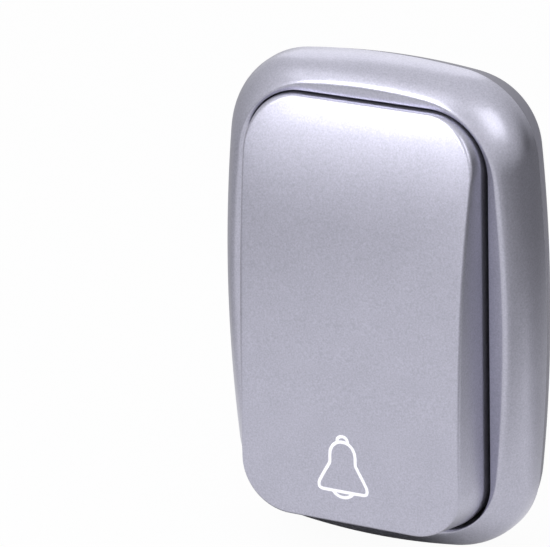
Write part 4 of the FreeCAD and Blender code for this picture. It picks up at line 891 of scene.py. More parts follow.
def band_tree() -> bpy.types.NodeTree:
    """A band with a rounded section along closed or open lines that lie in one plane facing -Y.

    Returns:
        The node tree. Lengths are in metres.
    """
    tree, given = new_tree("band_on_path", {
        "Width": 0.0006, "Height": 0.00002, "Corner": 0.000005, "Spacing": 0.0001, "Material": None})
    line = add_node(tree, "GeometryNodeMeshToCurve", None, {"Mesh": given.outputs["Geometry"]})
    bent = add_node(tree, "GeometryNodeCurveSplineType", {"spline_type": "CATMULL_ROM"}, {
        "Curve": line.outputs["Curve"]})
    fine = add_node(tree, "GeometryNodeResampleCurve", {"mode": "LENGTH"}, {
        "Curve": bent.outputs["Curve"], "Length": given.outputs["Spacing"]})
    facing = add_node(tree, "GeometryNodeSetCurveNormal", {"mode": "Z_UP"}, {"Curve": fine.outputs["Curve"]})
    section = add_node(tree, "GeometryNodeCurvePrimitiveQuadrilateral", None, {
        "Width": given.outputs["Width"], "Height": given.outputs["Height"]})
    eased = add_node(tree, "GeometryNodeFilletCurve", {"mode": "POLY"}, {
        "Curve": section.outputs["Curve"], "Radius": given.outputs["Corner"], "Limit Radius": True})
    drawn = add_node(tree, "GeometryNodeCurveToMesh", None, {
        "Curve": facing.outputs["Curve"], "Profile Curve": eased.outputs["Curve"], "Fill Caps": True})
    stood = add_node(tree, "GeometryNodeTransform", None, {
        "Geometry": drawn.outputs["Mesh"], "Rotation": (math.pi * 0.5, 0.0, 0.0)})
    end_tree(tree, stood.outputs["Geometry"], given.outputs["Material"])
    return tree


# Values that several sub-assemblies share, in millimetres

CASE = Outline(29.1, 42.8, 15.0, 290.0, 120.0, foot_corner=14.6)
SEAM = 8.0
DECK = 15.0
SPRING_X = 11.5
SPRING_Z = -14.0
SPRING_TOP = 22.43
POST_X = 12.5
POST_Z = -24.0
PUSHER_Z = -25.7


# Sub-assemblies


@dataclass
class PressPlate:
    """The big rocking plate: a leaning wall, a bowed front and the fittings on its inner side."""

    base: Outline = Outline(21.6, 36.65, 9.5, foot_corner=8.6)
    skirt_back: float = 13.3
    base_front: float = 17.0
    top_level: float = 24.88
    side_draft: float = 9.1
    top_draft: float = 10.4
    foot_draft: float = 5.8
    front_corner: float = 10.1
    foot_corner: float = 8.9
    face: float = 24.36
    lower_bow: float = 384.0
    upper_bow: float = 176.0
    flat_end: float = -25.2
    upper_start: float = 3.5
    wall: float = 1.6
    edge_round: float = 0.7
    edge_steps: int = 6
    bend_round: float = 0.5
    skirt_round: float = 0.25
    pillow: float = 0.35
    pillow_full: float = 25.0
    front_shares: tuple[float, ...] = (0.12, 0.26, 0.4, 0.52, 0.62, 0.71, 0.79, 0.86, 0.915)
    # fittings: "back" is their free end, and all end inside the wall at "root"
    root: float = 23.6
    hinge_depth: float = 14.2
    hinge_z: float = 31.5
    hinge_bore: float = 1.05
    bore_end: float = 16.0
    lug_radius: float = 1.9
    lug_inner: float = 9.9
    lug_outer: float = 13.1
    lug_front: float = 17.9
    post_back: float = 19.25
    post_radius: float = 1.6
    cup_back: float = 21.13
    cup_radius: float = 3.95
    cup_bore: float = 3.2
    cup_bore_back: float = 20.6
    hook_inner: float = 8.2
    hook_outer: float = 11.8
    hook_back: float = 13.25
    hook_foot: float = -34.0
    hook_thickness: float = 1.2
    toe_thickness: float = 1.0
    toe_reach: float = 3.4
    pusher_back: float = 15.75
    pusher_half_width: float = 2.6
    pusher_half_height: float = 1.2

    def crown(self, z: float, wall: float = 0.0) -> float:
        """Depth of the plate's front at a height: flat, then a gentle bow, then a tighter one.

        Args:
            z: height in millimetres.
            wall: how far behind the front face.

        Returns:
            The depth in millimetres.
        """
        turn = math.asin((self.upper_start - self.flat_end) / self.lower_bow)
        gentle, tight = self.lower_bow - wall, self.upper_bow - wall
        face = self.face - wall
        if z <= self.flat_end:
            return face
        if z <= self.flat_end + gentle * math.sin(turn):
            return face - gentle + math.sqrt(gentle ** 2 - (z - self.flat_end) ** 2)
        centre_z = self.flat_end + (gentle - tight) * math.sin(turn)
        centre = face - gentle + (gentle - tight) * math.cos(turn)
        return centre + math.sqrt(tight ** 2 - (z - centre_z) ** 2)

    def upper(self, z: float) -> float:
        """How much a height belongs to the plate's upper part, from 0 to 1."""
        share = min(max(z / self.pillow_full, 0.0), 1.0)
        return share * share * (3 - 2 * share)

    def edge(self, wall: float) -> list[tuple[float, float, float]]:
        """Finds where the leaning wall meets the front.

        Args:
            wall: how far inside the outer faces.

        Returns:
            Points once round, as x, depth and z in millimetres.
        """
        rise = self.top_level - self.base_front
        drafts = (self.side_draft, self.top_draft, self.foot_draft)
        aside, above, below = (rise * math.tan(math.radians(draft)) for draft in drafts)
        base = self.base.inset(wall).points()
        top = Outline(
            self.base.half_width - aside - wall, self.base.half_height - (above + below) / 2 - wall,
            self.front_corner - wall, middle=(below - above) / 2,
            foot_corner=self.foot_corner - wall).points()
        found = []
        for (bx, bz), (tx, tz) in zip(base, top):
            depth = self.face
            for _ in range(ROUNDS):
                share = (depth - self.base_front) / rise
                depth = self.crown(bz + (tz - bz) * share, wall)
            found.append((bx + (tx - bx) * share, depth, bz + (tz - bz) * share))
        return found

    def front_rings(self, wall: float) -> list[Ring]:
        """Lays rings over the front.

        Args:
            wall: how far behind the front face.

        Returns:
            Rings from the middle to the edge.
        """
        edge = self.edge(wall)
        rings = []
        for share in self.front_shares:
            swell = self.pillow * (1 - share ** 4)
            spots = [(x * share, z * share) for x, _, z in edge]
            rings.append([at(x, self.crown(z, wall) + swell * self.upper(z), z) for x, z in spots])
        return rings + [[at(x, depth, z) for x, depth, z in edge]]

    def shell(self) -> bpy.types.Object:
        """Skins the hollow plate without its fittings.

        Returns:
            The shell.
        """
        outer, inner = self.front_rings(0.0), self.front_rings(self.wall)
        inside = self.base.inset(self.wall)
        skirt = [
            self.base.ring(self.base_front), self.base.ring(self.skirt_back),
            inside.ring(self.skirt_back), inside.ring(self.base_front)]
        rings = outer + skirt + list(reversed(inner))
        bend = len(outer)
        radii = {
            bend - 1: self.edge_round, bend: self.bend_round, bend + 1: self.skirt_round,
            bend + 2: self.skirt_round, bend + 4: self.bend_round}
        poles = (at(0, self.crown(0.0), 0), at(0, self.crown(0.0, self.wall), 0))
        return stack("press_plate", soften(rings, radii, steps=self.edge_steps), poles)

    def fittings(self) -> list[bpy.types.Object]:
        """Makes the hinge lugs, stop posts, spring cups, stop hooks and the pusher.

        Returns:
            Closed tools, each reaching into the plate's wall.
        """
        made = []
        for side in (-1, 1):
            inner, outer = self.lug_inner * side, self.lug_outer * side
            near, far = self.hook_inner * side, self.hook_outer * side
            made += [
                block(at(inner, self.hinge_depth, self.hinge_z - self.lug_radius),
                      at(outer, self.lug_front, self.hinge_z + self.lug_radius)),
                rod(at(inner, self.hinge_depth, self.hinge_z), at(outer, self.hinge_depth, self.hinge_z),
                    self.lug_radius),
                stud(POST_X * side, POST_Z, self.post_back, self.root, self.post_radius),
                stud(SPRING_X * side, SPRING_Z, self.cup_back, self.root, self.cup_radius),
                block(at(near, self.hook_back, self.hook_foot),
                      at(far, self.root, self.hook_foot + self.hook_thickness)),
                block(at(near, self.hook_back, self.hook_foot),
                      at(far, self.hook_back + self.toe_thickness, self.hook_foot + self.toe_reach))]
        made.append(block(
            at(-self.pusher_half_width, self.pusher_back, PUSHER_Z - self.pusher_half_height),
            at(self.pusher_half_width, self.root, PUSHER_Z + self.pusher_half_height)))
        return made

    def bores(self) -> list[bpy.types.Object]:
        """Makes what is cut out: the hinge bore and the seats of the springs.

        Returns:
            Closed tools.
        """
        start = at(-self.bore_end, self.hinge_depth, self.hinge_z)
        end = at(self.bore_end, self.hinge_depth, self.hinge_z)
        made = [rod(start, end, self.hinge_bore, 0.0)]
        for side in (-1, 1):
            made.append(stud(SPRING_X * side, SPRING_Z, self.cup_bore_back, SPRING_TOP, self.cup_bore, 0.0))
        return made

    def build(self) -> bpy.types.Object:
        """Builds and dresses the plate.

        Returns:
            The finished piece.
        """
        plate = self.shell()
        for tool in self.fittings():
            combine(plate, [tool], "UNION")
        combine(plate, self.bores(), "DIFFERENCE")
        polish(plate)
        return fit(plate, Body.ROCKER, "rocker_paint", PLATE_LACQUER, "rocker_cover")


@dataclass
class BellSign:
    """The bell outline printed near the foot of the plate."""

    plate: PressPlate
    middle: float = -1.15
    stroke: float = 0.58
    film: float = 0.02
    thinner: float = 0.8
    film_corner: float = 0.3
    sink: float = 0.002
    spacing: float = 0.1

    def lines(self) -> dict[str, tuple[list[Spot], bool]]:
        """Draws the sign about its own middle.

        Returns:
            The bell, its top loop and its clapper: points, and whether the line closes on itself.
        """
        half = [
            (0.0, -21.02), (0.75, -21.13), (1.36, -21.45), (1.92, -22.03), (2.24, -22.75), (2.37, -23.5),
            (2.38, -24.25), (2.43, -24.97), (2.75, -25.62), (3.2, -26.42), (3.66, -27.22), (4.08, -28.0),
            (4.42, -28.7), (4.53, -29.25), (4.4, -29.75), (4.0, -29.98), (3.3, -30.02), (1.6, -30.03)]
        bell = half + [(0.0, -30.03)] + [(-x, z) for x, z in reversed(half[1:])]
        loop = [(-0.97, -21.08), (-0.9, -20.55), (-0.5, -20.14), (0.0, -20.03)]
        loop += [(-x, z) for x, z in reversed(loop[:-1])]
        clapper = [(-1.95, -30.05), (-1.4, -30.6), (-0.72, -30.94), (0.0, -31.05)]
        clapper += [(-x, z) for x, z in reversed(clapper[:-1])]
        return {"bell": (bell, True), "loop": (loop, False), "clapper": (clapper, False)}

    def stroke_band(self, name: str, line: list[Spot], closed: bool, film: float) -> bpy.types.Object:
        """Lays one line of the sign on the plate's bowed front as a band of ink.

        Args:
            name: the band's name.
            line: its points about the sign's middle.
            closed: whether the line closes on itself.
            film: the ink's thickness.

        Returns:
            The band.
        """
        flat = [Vector(((x + self.middle) * MM, z * MM, 0.0)) for x, z in line]
        band = grow(name, band_tree(), {
            "Width": self.stroke * MM, "Height": film * MM, "Corner": film * self.film_corner * MM,
            "Spacing": self.spacing * MM, "Material": INK.build()}, path_mesh(name, flat, closed))
        for vertex in band.data.vertices:
            vertex.co.y -= (self.plate.crown(vertex.co.z / MM) + film * 0.5 - self.sink) * MM
        return band

    def build(self) -> bpy.types.Object:
        """Builds the three lines and joins them into one film.

        Returns:
            The finished piece.
        """
        lines = self.lines()
        sign = self.stroke_band("bell_sign", *lines["bell"], self.film)
        # the short lines are printed a little thinner, so that no two faces share a plane
        for part in ("loop", "clapper"):
            combine(sign, [self.stroke_band(part, *lines[part], self.film * self.thinner)], "UNION")
        polish(sign)
        return fit(sign, Body.ROCKER, "rocker_paint", INK)


@dataclass
class FrontRim:
    """The rounded rim round the plate: its band falls a little towards the well, and bosses stand behind."""

    start: float = 9.265
    bulge: float = 9.4
    sweep: float = 51.0
    steps: int = 14
    foot_swell: float = 0.28
    crest_side_bow: float = 200.0
    crest_end_bow: float = 84.0
    crest_corner: float = 15.5
    crest_foot_corner: float = 14.2
    crest_steps: int = 12
    crest_start: float = 0.86
    crest_reach: float = 0.95
    slope_step: float = 0.01
    lip: Outline = Outline(22.3, 37.175, 10.6, middle=-0.175, foot_corner=9.3)
    lip_round: float = 0.16
    dish: float = 0.36
    well: Outline = Outline(22.3, 37.35, 10.2)
    tube: Outline = Outline(23.7, 38.75, 11.6)
    well_back: float = 9.04
    roof: float = 12.37
    wall: float = 2.0
    edge_round: float = 0.15
    roof_round: float = 0.4
    mouth_round: float = 0.1
    boss_x: float = 24.95
    boss_z: float = 12.0
    boss_half_width: float = 2.1
    boss_half_height: float = 2.4
    boss_front: float = 12.57
    pilot_back: float = 8.5
    pilot_front: float = 12.14
    pilot_radius: float = 0.8
    pilot_sides: int = 24

    def section(self, share: float) -> Ring:
        """Makes one ring of the outer curve.

        Args:
            share: place on the curve, from 0 at the side to 1 at the crest.

        Returns:
            The ring.
        """
        turn = math.radians(self.sweep) * share
        inset = self.bulge * (1 - math.cos(turn))
        part = inset / (self.bulge * (1 - math.cos(math.radians(self.sweep))))
        swell = self.foot_swell * math.sin(math.pi * share) ** 2
        outline = Outline(
            CASE.half_width - inset, CASE.half_height - inset + swell / 2,
            CASE.corner + (self.crest_corner - CASE.corner) * part,
            CASE.side_bow + (self.crest_side_bow - CASE.side_bow) * part,
            CASE.end_bow + (self.crest_end_bow - CASE.end_bow) * part, -swell / 2,
            CASE.foot_corner + (self.crest_foot_corner - CASE.foot_corner) * part)
        return outline.ring(self.start + self.bulge * math.sin(turn))

    def crest(self, band: float, lip: Ring) -> list[Ring]:
        """Rounds the ridge between the outer curve and the flat band.

        Args:
            band: the band's depth.
            lip: the band's inner edge.

        Returns:
            Rings from the end of the outer curve to the start of the band.
        """
        first = self.section(self.crest_start)
        before = self.section(self.crest_start - self.slope_step)
        rows: list[Ring] = [[] for _ in range(self.crest_steps + 1)]
        for p, b, inner in zip(first, before, lip):
            ridge = p + (p - b) * ((-band * MM - p.y) / (p.y - b.y))
            across = inner - ridge
            last = ridge + across.normalized() * min(self.crest_reach * MM, across.length * ROUND_LIMIT)
            for step, row in enumerate(rows):
                t = step / self.crest_steps
                row.append(p * (1 - t) ** 2 + ridge * (2 * t * (1 - t)) + last * t * t)
        return rows

    def shell(self) -> bpy.types.Object:
        """Skins the rim without its bosses.

        Returns:
            The shell.
        """
        band = self.start + self.bulge * math.sin(math.radians(self.sweep))
        lip = self.lip.ring(band - self.dish)
        inner = CASE.inset(self.wall)
        curve = [self.section(self.crest_start * k / self.steps) for k in range(self.steps)]
        curve += self.crest(band, lip)
        rings = [CASE.ring(SEAM)] + curve + [
            lip, self.well.ring(self.well_back), self.tube.ring(self.well_back), self.tube.ring(self.roof),
            inner.ring(self.roof), inner.ring(SEAM)]
        end = len(curve)
        radii = {
            0: self.edge_round, end + 1: self.lip_round, end + 2: self.edge_round, end + 3: self.edge_round,
            end + 4: self.roof_round, end + 5: self.roof_round, end + 6: self.mouth_round}
        return stack("front_rim", soften(rings, radii, closed=True))

    def build(self) -> bpy.types.Object:
        """Builds and dresses the rim.

        Returns:
            The finished piece.
        """
        rim = self.shell()
        bosses, pilots = [], []
        for x, z in four(self.boss_x, self.boss_z):
            bosses.append(block(
                at(x - self.boss_half_width, self.well_back, z - self.boss_half_height),
                at(x + self.boss_half_width, self.boss_front, z + self.boss_half_height)))
            pilots.append(stud(
                x, z, self.pilot_back, self.pilot_front, self.pilot_radius, 0.0, self.pilot_sides))
        combine(rim, bosses, "UNION")
        combine(rim, pilots, "DIFFERENCE")
        polish(rim)
        return fit(rim, Body.HOUSING, "frame_paint", RIM_LACQUER, "front_frame")


@dataclass
class BackShell:
    """The rear cover: a tapering tray with a recess for the wall plate and four hanging catches."""

    back: float = 0.6
    recess: Outline = Outline(23.9, 37.6, 15.0)
    recess_front: float = 3.6
    floor_front: float = 5.0
    wall: float = 2.2
    floor_shares: tuple[float, ...] = (0.25, 0.5, 0.75, 0.92)
    side_steps: int = 10
    # depth and inset of the sections that the side passes through
    sections: tuple[Spot, ...] = ((8.0, 0.174), (4.892, 1.044), (2.228, 2.088), (0.6, 2.9))
    groove_outer: float = 0.7
    groove_inner: float = 1.4
    groove_depth: float = 0.6
    recess_round: float = 0.3
    mouth_round: float = 0.25
    back_round: float = 0.35
    seam_round: float = 0.3
    rim_round: float = 0.15
    floor_round: float = 0.6
    screw_x: float = 19.9
    screw_z: float = 24.0
    boss_back: float = 4.6
    boss_front: float = 6.2
    boss_radius: float = 2.9
    hole_back: float = 3.0
    hole_front: float = 7.0
    hole_radius: float = 1.1
    head_radius: float = 2.2
    catch_x: float = 17.0
    catch_z: float = 20.0
    neck_half_width: float = 3.0
    neck_half_height: float = 1.0
    neck_back: float = 1.25
    neck_front: float = 3.8
    tongue_half_width: float = 2.96
    tongue_back: float = 1.3
    tongue_front: float = 2.25
    tongue_below: float = 3.4
    tongue_above: float = 0.8

    def inset_at(self, depth: float) -> float:
        """How far the tray's side is drawn in at a depth, along a smooth curve through the sections.

        Args:
            depth: depth in millimetres.

        Returns:
            The inset in millimetres.
        """
        total = 0.0
        for level, inset in self.sections:
            share = 1.0
            for far, _ in self.sections:
                if far != level:
                    share *= (depth - far) / (level - far)
            total += inset * share
        return total

    def shell(self) -> bpy.types.Object:
        """Skins the tray without bosses, holes and catches.

        Returns:
            The shell.
        """
        inside = CASE.inset(self.wall)
        recess, floor = self.recess.ring(self.recess_front), inside.ring(self.floor_front)
        middle_back, middle_front = at(0, self.recess_front, 0), at(0, self.floor_front, 0)
        flat_back = [[p * s + middle_back * (1 - s) for p in recess] for s in self.floor_shares]
        flat_front = [[p * s + middle_front * (1 - s) for p in floor] for s in reversed(self.floor_shares)]
        steps = self.side_steps
        levels = [self.back + (SEAM - self.back) * k / steps for k in range(steps + 1)]
        side = [CASE.inset(self.inset_at(level)).ring(level) for level in levels]
        outer, inner = CASE.inset(self.groove_outer), CASE.inset(self.groove_inner)
        bottom = SEAM - self.groove_depth
        rings = flat_back + [recess, self.recess.ring(self.back)] + side
        rings += [outer.ring(SEAM), outer.ring(bottom), inner.ring(bottom), inner.ring(SEAM)]
        rings += [inside.ring(SEAM), floor] + flat_front
        first = len(flat_back)
        last = first + 1 + len(side)
        radii = {
            first: self.recess_round, first + 1: self.mouth_round, first + 2: self.back_round,
            last: self.seam_round, last + 5: self.rim_round, last + 6: self.floor_round}
        return stack("back_shell", soften(rings, radii), (middle_back, middle_front))

    def catches(self) -> list[bpy.types.Object]:
        """Makes the four catches, each a neck with a tongue that hooks behind the wall plate.

        Returns:
            Closed tools.
        """
        made = []
        for x, z in four(self.catch_x, self.catch_z):
            made += [
                block(at(x - self.neck_half_width, self.neck_back, z - self.neck_half_height),
                      at(x + self.neck_half_width, self.neck_front, z + self.neck_half_height)),
                block(at(x - self.tongue_half_width, self.tongue_back, z - self.tongue_below),
                      at(x + self.tongue_half_width, self.tongue_front, z + self.tongue_above))]
        return made

    def build(self) -> bpy.types.Object:
        """Builds and dresses the tray.

        Returns:
            The finished piece.
        """
        shell = self.shell()
        screws = four(self.screw_x, self.screw_z)
        bosses = [stud(x, z, self.boss_back, self.boss_front, self.boss_radius) for x, z in screws]
        for tool in bosses + self.catches():
            combine(shell, [tool], "UNION")
        for x, z in screws:
            for end, radius in ((self.floor_front, self.head_radius), (self.hole_front, self.hole_radius)):
                combine(shell, [stud(x, z, self.hole_back, end, radius, 0.0)], "DIFFERENCE")
        polish(shell)
        return fit(shell, Body.HOUSING, "cover_plastic", BACK_ABS, "rear_cover")


@dataclass
class WallMount:
    """What stays on the wall: the moulded plate and its foam tape."""

    plate_round: float = 0.18
    merge_within: float = 0.002
    flat_within: float = 1.0
    edge_above: float = 40.0
    pad_half_width: float = 12.5
    pad_half_height: float = 20.0
    pad_corner: float = 0.8
    pad_thickness: float = 1.0
    pad_waist: float = 0.12
    pad_edge: float = 0.03
    pad_layers: int = 8
    face_shares: tuple[float, ...] = (0.3, 0.6, 0.85, 0.97)

    def plate(self) -> bpy.types.Object:
        """Makes the plate from its own solid, with eased edges.

        Returns:
            The finished piece.
        """
        work = bmesh.new()
        work.from_mesh(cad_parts["wall_plate"].data)
        bmesh.ops.remove_doubles(work, verts=work.verts, dist=self.merge_within * MM)
        bmesh.ops.dissolve_limit(
            work, angle_limit=math.radians(self.flat_within), verts=work.verts, edges=work.edges)
        plate = from_bmesh("mount_plate", work)
        soft = plate.modifiers.new("Soft", "BEVEL")
        soft.width = self.plate_round * MM
        soft.segments = 2
        soft.limit_method = "ANGLE"
        soft.angle_limit = math.radians(self.edge_above)
        soft.use_clamp_overlap = True
        settle(plate)
        polish(plate)
        return fit(plate, Body.WALL_PLATE, "plate_plastic", WALL_ABS, "wall_plate")

    def outline(self, waist: float) -> Outline:
        """The tape's outline, drawn in by its waist."""
        return Outline(self.pad_half_width - waist, self.pad_half_height - waist, self.pad_corner)

    def face(self, depth: float) -> list[Ring]:
        """Rings over one face of the tape, from the middle outwards."""
        ring = self.outline(0.0).ring(depth)
        return [[Vector((p.x * share, p.y, p.z * share)) for p in ring] for share in self.face_shares]

    def pad(self) -> bpy.types.Object:
        """Makes the foam tape: die-cut, with sides that draw in a little between its faces.

        Returns:
            The finished piece.
        """
        rings = self.face(0.0)
        for k in range(self.pad_layers + 1):
            waist = self.pad_waist * math.sin(math.pi * k / self.pad_layers)
            if k in (0, self.pad_layers):
                waist += self.pad_edge
            rings.append(self.outline(waist).ring(self.pad_thickness * k / self.pad_layers))
        rings += reversed(self.face(self.pad_thickness))
        pad = stack("foam_tape", rings, (at(0, 0, 0), at(0, self.pad_thickness, 0)))
        fit(pad, Body.WALL_PLATE, "foam", FOAM, "adhesive_pad")
        return pad

    def build(self) -> None:
        """Builds both pieces."""
        self.plate()
        self.pad()


@dataclass(frozen=True)
class ScrewSet:
    """Four like screws at the corners of a rectangle, all facing the front."""

    node: str
    span_x: float
    span_z: float
    middle_z: float
    head_depth: float
    head: float
    dome: float
    shank: float
    length: float
    slot_length: float = 1.1
    slot_width: float = 0.24
    slot_depths: tuple[float, float] = (1.2, 1.16)

    def build(self, tree: bpy.types.NodeTree) -> bpy.types.Object:
        """Builds and dresses the set.

        Args:
            tree: the node tree that turns and places the screws.

        Returns:
            The finished piece.
        """
        first, second = self.slot_depths
        made = grow(f"{self.node}_zinc", tree, {
            "Span X": self.span_x * MM, "Span Z": self.span_z * MM, "Middle Z": self.middle_z * MM,
            "Head Y": -self.head_depth * MM, "Cross Length": self.head * self.slot_length,
            "Cross Width": self.head * self.slot_width, "Cross Depth": self.dome * first,
            "Second Depth": self.dome * second, "Material": ZINC.build()},
            screw_line(self.head, self.dome, self.shank, self.length))
        return fit(made, Body.HOUSING, "zinc_screws", ZINC, self.node)


@dataclass
class Works:
    """What works inside the case: springs, screws, gasket, the generator and the sender's parts."""

    spring_keep: float = 0.63
    spring_wire: float = 0.25
    spring_radius: float = 2.4
    spring_turns: float = 6.5
    screws: tuple[ScrewSet, ...] = (
        ScrewSet("frame_screws", 49.9, 24.0, 0.0, 6.64, head=1.35, dome=1.0, shank=0.8, length=4.2),
        ScrewSet("cover_screws", 39.8, 48.0, 0.0, 4.05, head=1.9, dome=0.95, shank=1.0, length=3.3),
        ScrewSet("board_screws", 27.2, 50.7, -2.25, 5.5, head=1.8, dome=0.9, shank=1.0, length=4.0),
    )
    gasket_inset: float = 1.05
    gasket_depth: float = 7.7
    gasket_width: float = 0.66
    gasket_height: float = 0.56
    gasket_corner: float = 0.2
    gasket_spacing: float = 0.5
    coil_wire: float = 0.16
    coil_turns: int = 37
    coil_half_width: float = 4.35
    coil_half_depth: float = 2.45
    coil_corner: float = 1.1
    coil_depth: float = 10.4
    coil_foot: float = -9.9
    coil_rise: float = 12.1

    def springs(self) -> None:
        """Builds the two return springs, which shorten as the plate is pressed."""
        springs = grow("return_spring_pair", spring_tree(), {
            "Mean Radius": self.spring_radius * MM, "Wire Radius": self.spring_wire * MM,
            "Turns": self.spring_turns, "Rise": (SPRING_TOP - DECK - 2 * self.spring_wire) * MM,
            "First X": -SPRING_X * MM, "First Z": SPRING_Z * MM, "Step X": 2 * SPRING_X * MM,
            "Seat Y": -DECK * MM, "Material": SPRING_WIRE.build()})
        fit(springs, Body.HOUSING, "spring_steel", SPRING_WIRE, "return_springs")
        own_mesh(springs)

    def gasket(self) -> None:
        """Builds the soft ring in the seam between cover and rim."""
        line = [Vector((x * MM, z * MM, 0.0)) for x, z in CASE.inset(self.gasket_inset).points()]
        ring = grow("seam_gasket", band_tree(), {
            "Width": self.gasket_width * MM, "Height": self.gasket_height * MM,
            "Corner": self.gasket_corner * MM, "Spacing": self.gasket_spacing * MM,
            "Material": RUBBER.build()}, path_mesh("gasket_line", line, True))
        for vertex in ring.data.vertices:
            vertex.co.y -= self.gasket_depth * MM
        fit(ring, Body.HOUSING, "seal_rubber", RUBBER, "housing_gasket")

    def winding(self) -> None:
        """Builds the generator's coil: wire drawn at 0.32 mm, three times its real size, as one helix."""
        wire = self.coil_wire
        turn = Outline(
            self.coil_half_width - wire, self.coil_half_depth - wire, self.coil_corner,
            middle=self.coil_depth).points(3, 5, 4)
        count = self.coil_turns * len(turn)
        line = []
        for k in range(count + 1):
            x, depth = turn[k % len(turn)]
            line.append(at(x, depth, self.coil_foot + wire + (self.coil_rise - 2 * wire) * k / count))
        coil = grow("coil_wire", wire_tree(), {
            "Wire Radius": wire * MM, "Sides": 7, "Material": COPPER.build()},
            path_mesh("coil_line", line, False))
        fit(coil, Body.HOUSING, "copper", COPPER, "coil_winding")

    def stays(self) -> None:
        """Dresses the solids that stay as they are."""
        finishes = {
            DECK_ABS: ("chassis",),
            ACETAL: ("generator_case", "coil_bobbin", "generator_lever"),
            PIN_STEEL: ("hinge_pin", "lever_pin", "coil_terminals"),
            SPRING_WIRE: ("leaf_spring",),
            IRON: ("lower_yoke", "upper_yoke", "armature"),
            NICKEL: ("magnets", "crystal"),
            COPPER: ("antenna_coil",),
            LAMINATE: ("circuit_board",),
            EPOXY: ("radio_chip", "rectifier_diodes"),
            SLEEVE: ("storage_capacitor",),
            CERAMIC: ("chip_passives",)}
        for finish, nodes in finishes.items():
            for node in nodes:
                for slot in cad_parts[node].material_slots:
                    slot.material = finish.build()
                log.info("%s keeps its solid, finish %s", node, finish.name)

    def build(self) -> None:
        """Builds the replaced pieces and dresses the solids that stay."""
        self.springs()
        tree = screw_tree()
        for screws in self.screws:
            screws.build(tree)
        self.gasket()
        self.winding()
        Seals().build()
        self.stays()


@dataclass
class Seals:
    """The soft parts under the plate: the port's membrane and the bumpers."""

    bead_front: float = 15.6
    bead_outer: tuple[float, float, float] = (6.0, 4.0, 1.5)
    bead_inner: tuple[float, float, float] = (5.1, 3.1, 1.0)
    bead_foot_round: float = 0.05
    bead_round: float = 0.2
    # half width, half height, corner radius and depth of the plug's sections, from front to back
    plug_sections: tuple[tuple[float, float, float, float], ...] = (
        (2.4, 1.0, 0.6, 15.55), (4.4, 2.5, 0.8, 15.5), (5.0, 3.0, 0.9, 15.4), (5.0, 3.0, 0.9, 15.05),
        (4.6, 2.6, 0.8, 15.05), (4.2, 2.2, 0.6, 14.9), (4.1, 2.1, 0.6, 13.05), (2.0, 0.9, 0.5, 13.05))
    plug_rounds: tuple[float, ...] = (0.0, 0.3, 0.15, 0.1, 0.0, 0.2, 0.3, 0.0)
    press_end: float = 12.3
    press_keep: float = 0.04
    bumper_front: float = 16.0
    bumper_radius: float = 2.0
    bumper_round: float = 0.35

    def section(self, half_x: float, half_z: float, corner: float, depth: float) -> Ring:
        """A rounded section of the membrane about the pusher's place."""
        return Outline(half_x, half_z, corner, middle=PUSHER_Z).ring(depth)

    def bead(self) -> None:
        """Builds the ring that holds the membrane down round the port."""
        rings = [
            self.section(*self.bead_outer, DECK), self.section(*self.bead_outer, self.bead_front),
            self.section(*self.bead_inner, self.bead_front), self.section(*self.bead_inner, DECK)]
        radii = {0: self.bead_foot_round, 1: self.bead_round, 2: self.bead_round, 3: self.bead_foot_round}
        bead = stack("seal_bead", soften(rings, radii, closed=True))
        fit(bead, Body.HOUSING, "seal_rubber", RUBBER)

    def dish(self) -> None:
        """Builds the membrane's middle, a soft plug that is pushed in as one presses."""
        rings = [self.section(*sizes) for sizes in self.plug_sections]
        front, back = (self.plug_sections[end][-1] for end in (0, -1))
        radii = dict(enumerate(self.plug_rounds))
        dish = stack("seal_dish", soften(rings, radii), (at(0, front, PUSHER_Z), at(0, back, PUSHER_Z)))
        fit(dish, Body.HOUSING, "seal_rubber", RUBBER, "seal_membrane")
        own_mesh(dish)

    def bumpers(self) -> None:
        """Builds the two domed rubber bumpers that stop the plate."""
        left, right = (
            stud(POST_X * side, POST_Z, DECK, self.bumper_front, self.bumper_radius, self.bumper_round)
            for side in (-1, 1))
        left.name = "bumper_pair"
        combine(left, [right], "UNION")
        polish(left)
        fit(left, Body.HOUSING, "seal_rubber", RUBBER, "bumper_pads")

    def build(self) -> None:
        """Builds the soft parts."""
        self.bead()
        self.dish()
        self.bumpers()


# Studio


def towards(azimuth: float, elevation: float) -> Vector:
    """Turns angles into a direction.

    Args:
        azimuth: degrees from +X to +Y.
        elevation: degrees above the floor.

    Returns:
        The direction, of length 1.
    """
    turn, rise = math.radians(azimuth), math.radians(elevation)
    return Vector((math.cos(turn) * math.cos(rise), math.sin(turn) * math.cos(rise), math.sin(rise)))


def seen_directly(tree: bpy.types.NodeTree) -> tuple[bpy.types.NodeSocket, bpy.types.NodeSocket]:
    """Tells the camera's own view from light and reflections.

    Args:
        tree: the tree of the floor's material or of the world.

    Returns:
        Two sockets: 1 for a ray from the camera or through glass, and 1 for a mirrored ray.
    """
    path = add_node(tree, "ShaderNodeLightPath")
    seen = add_node(tree, "ShaderNodeMath", {"operation": "MAXIMUM"}, {
        0: path.outputs["Is Camera Ray"], 1: path.outputs["Is Transmission Ray"]})
    return seen.outputs[0], path.outputs["Is Glossy Ray"]


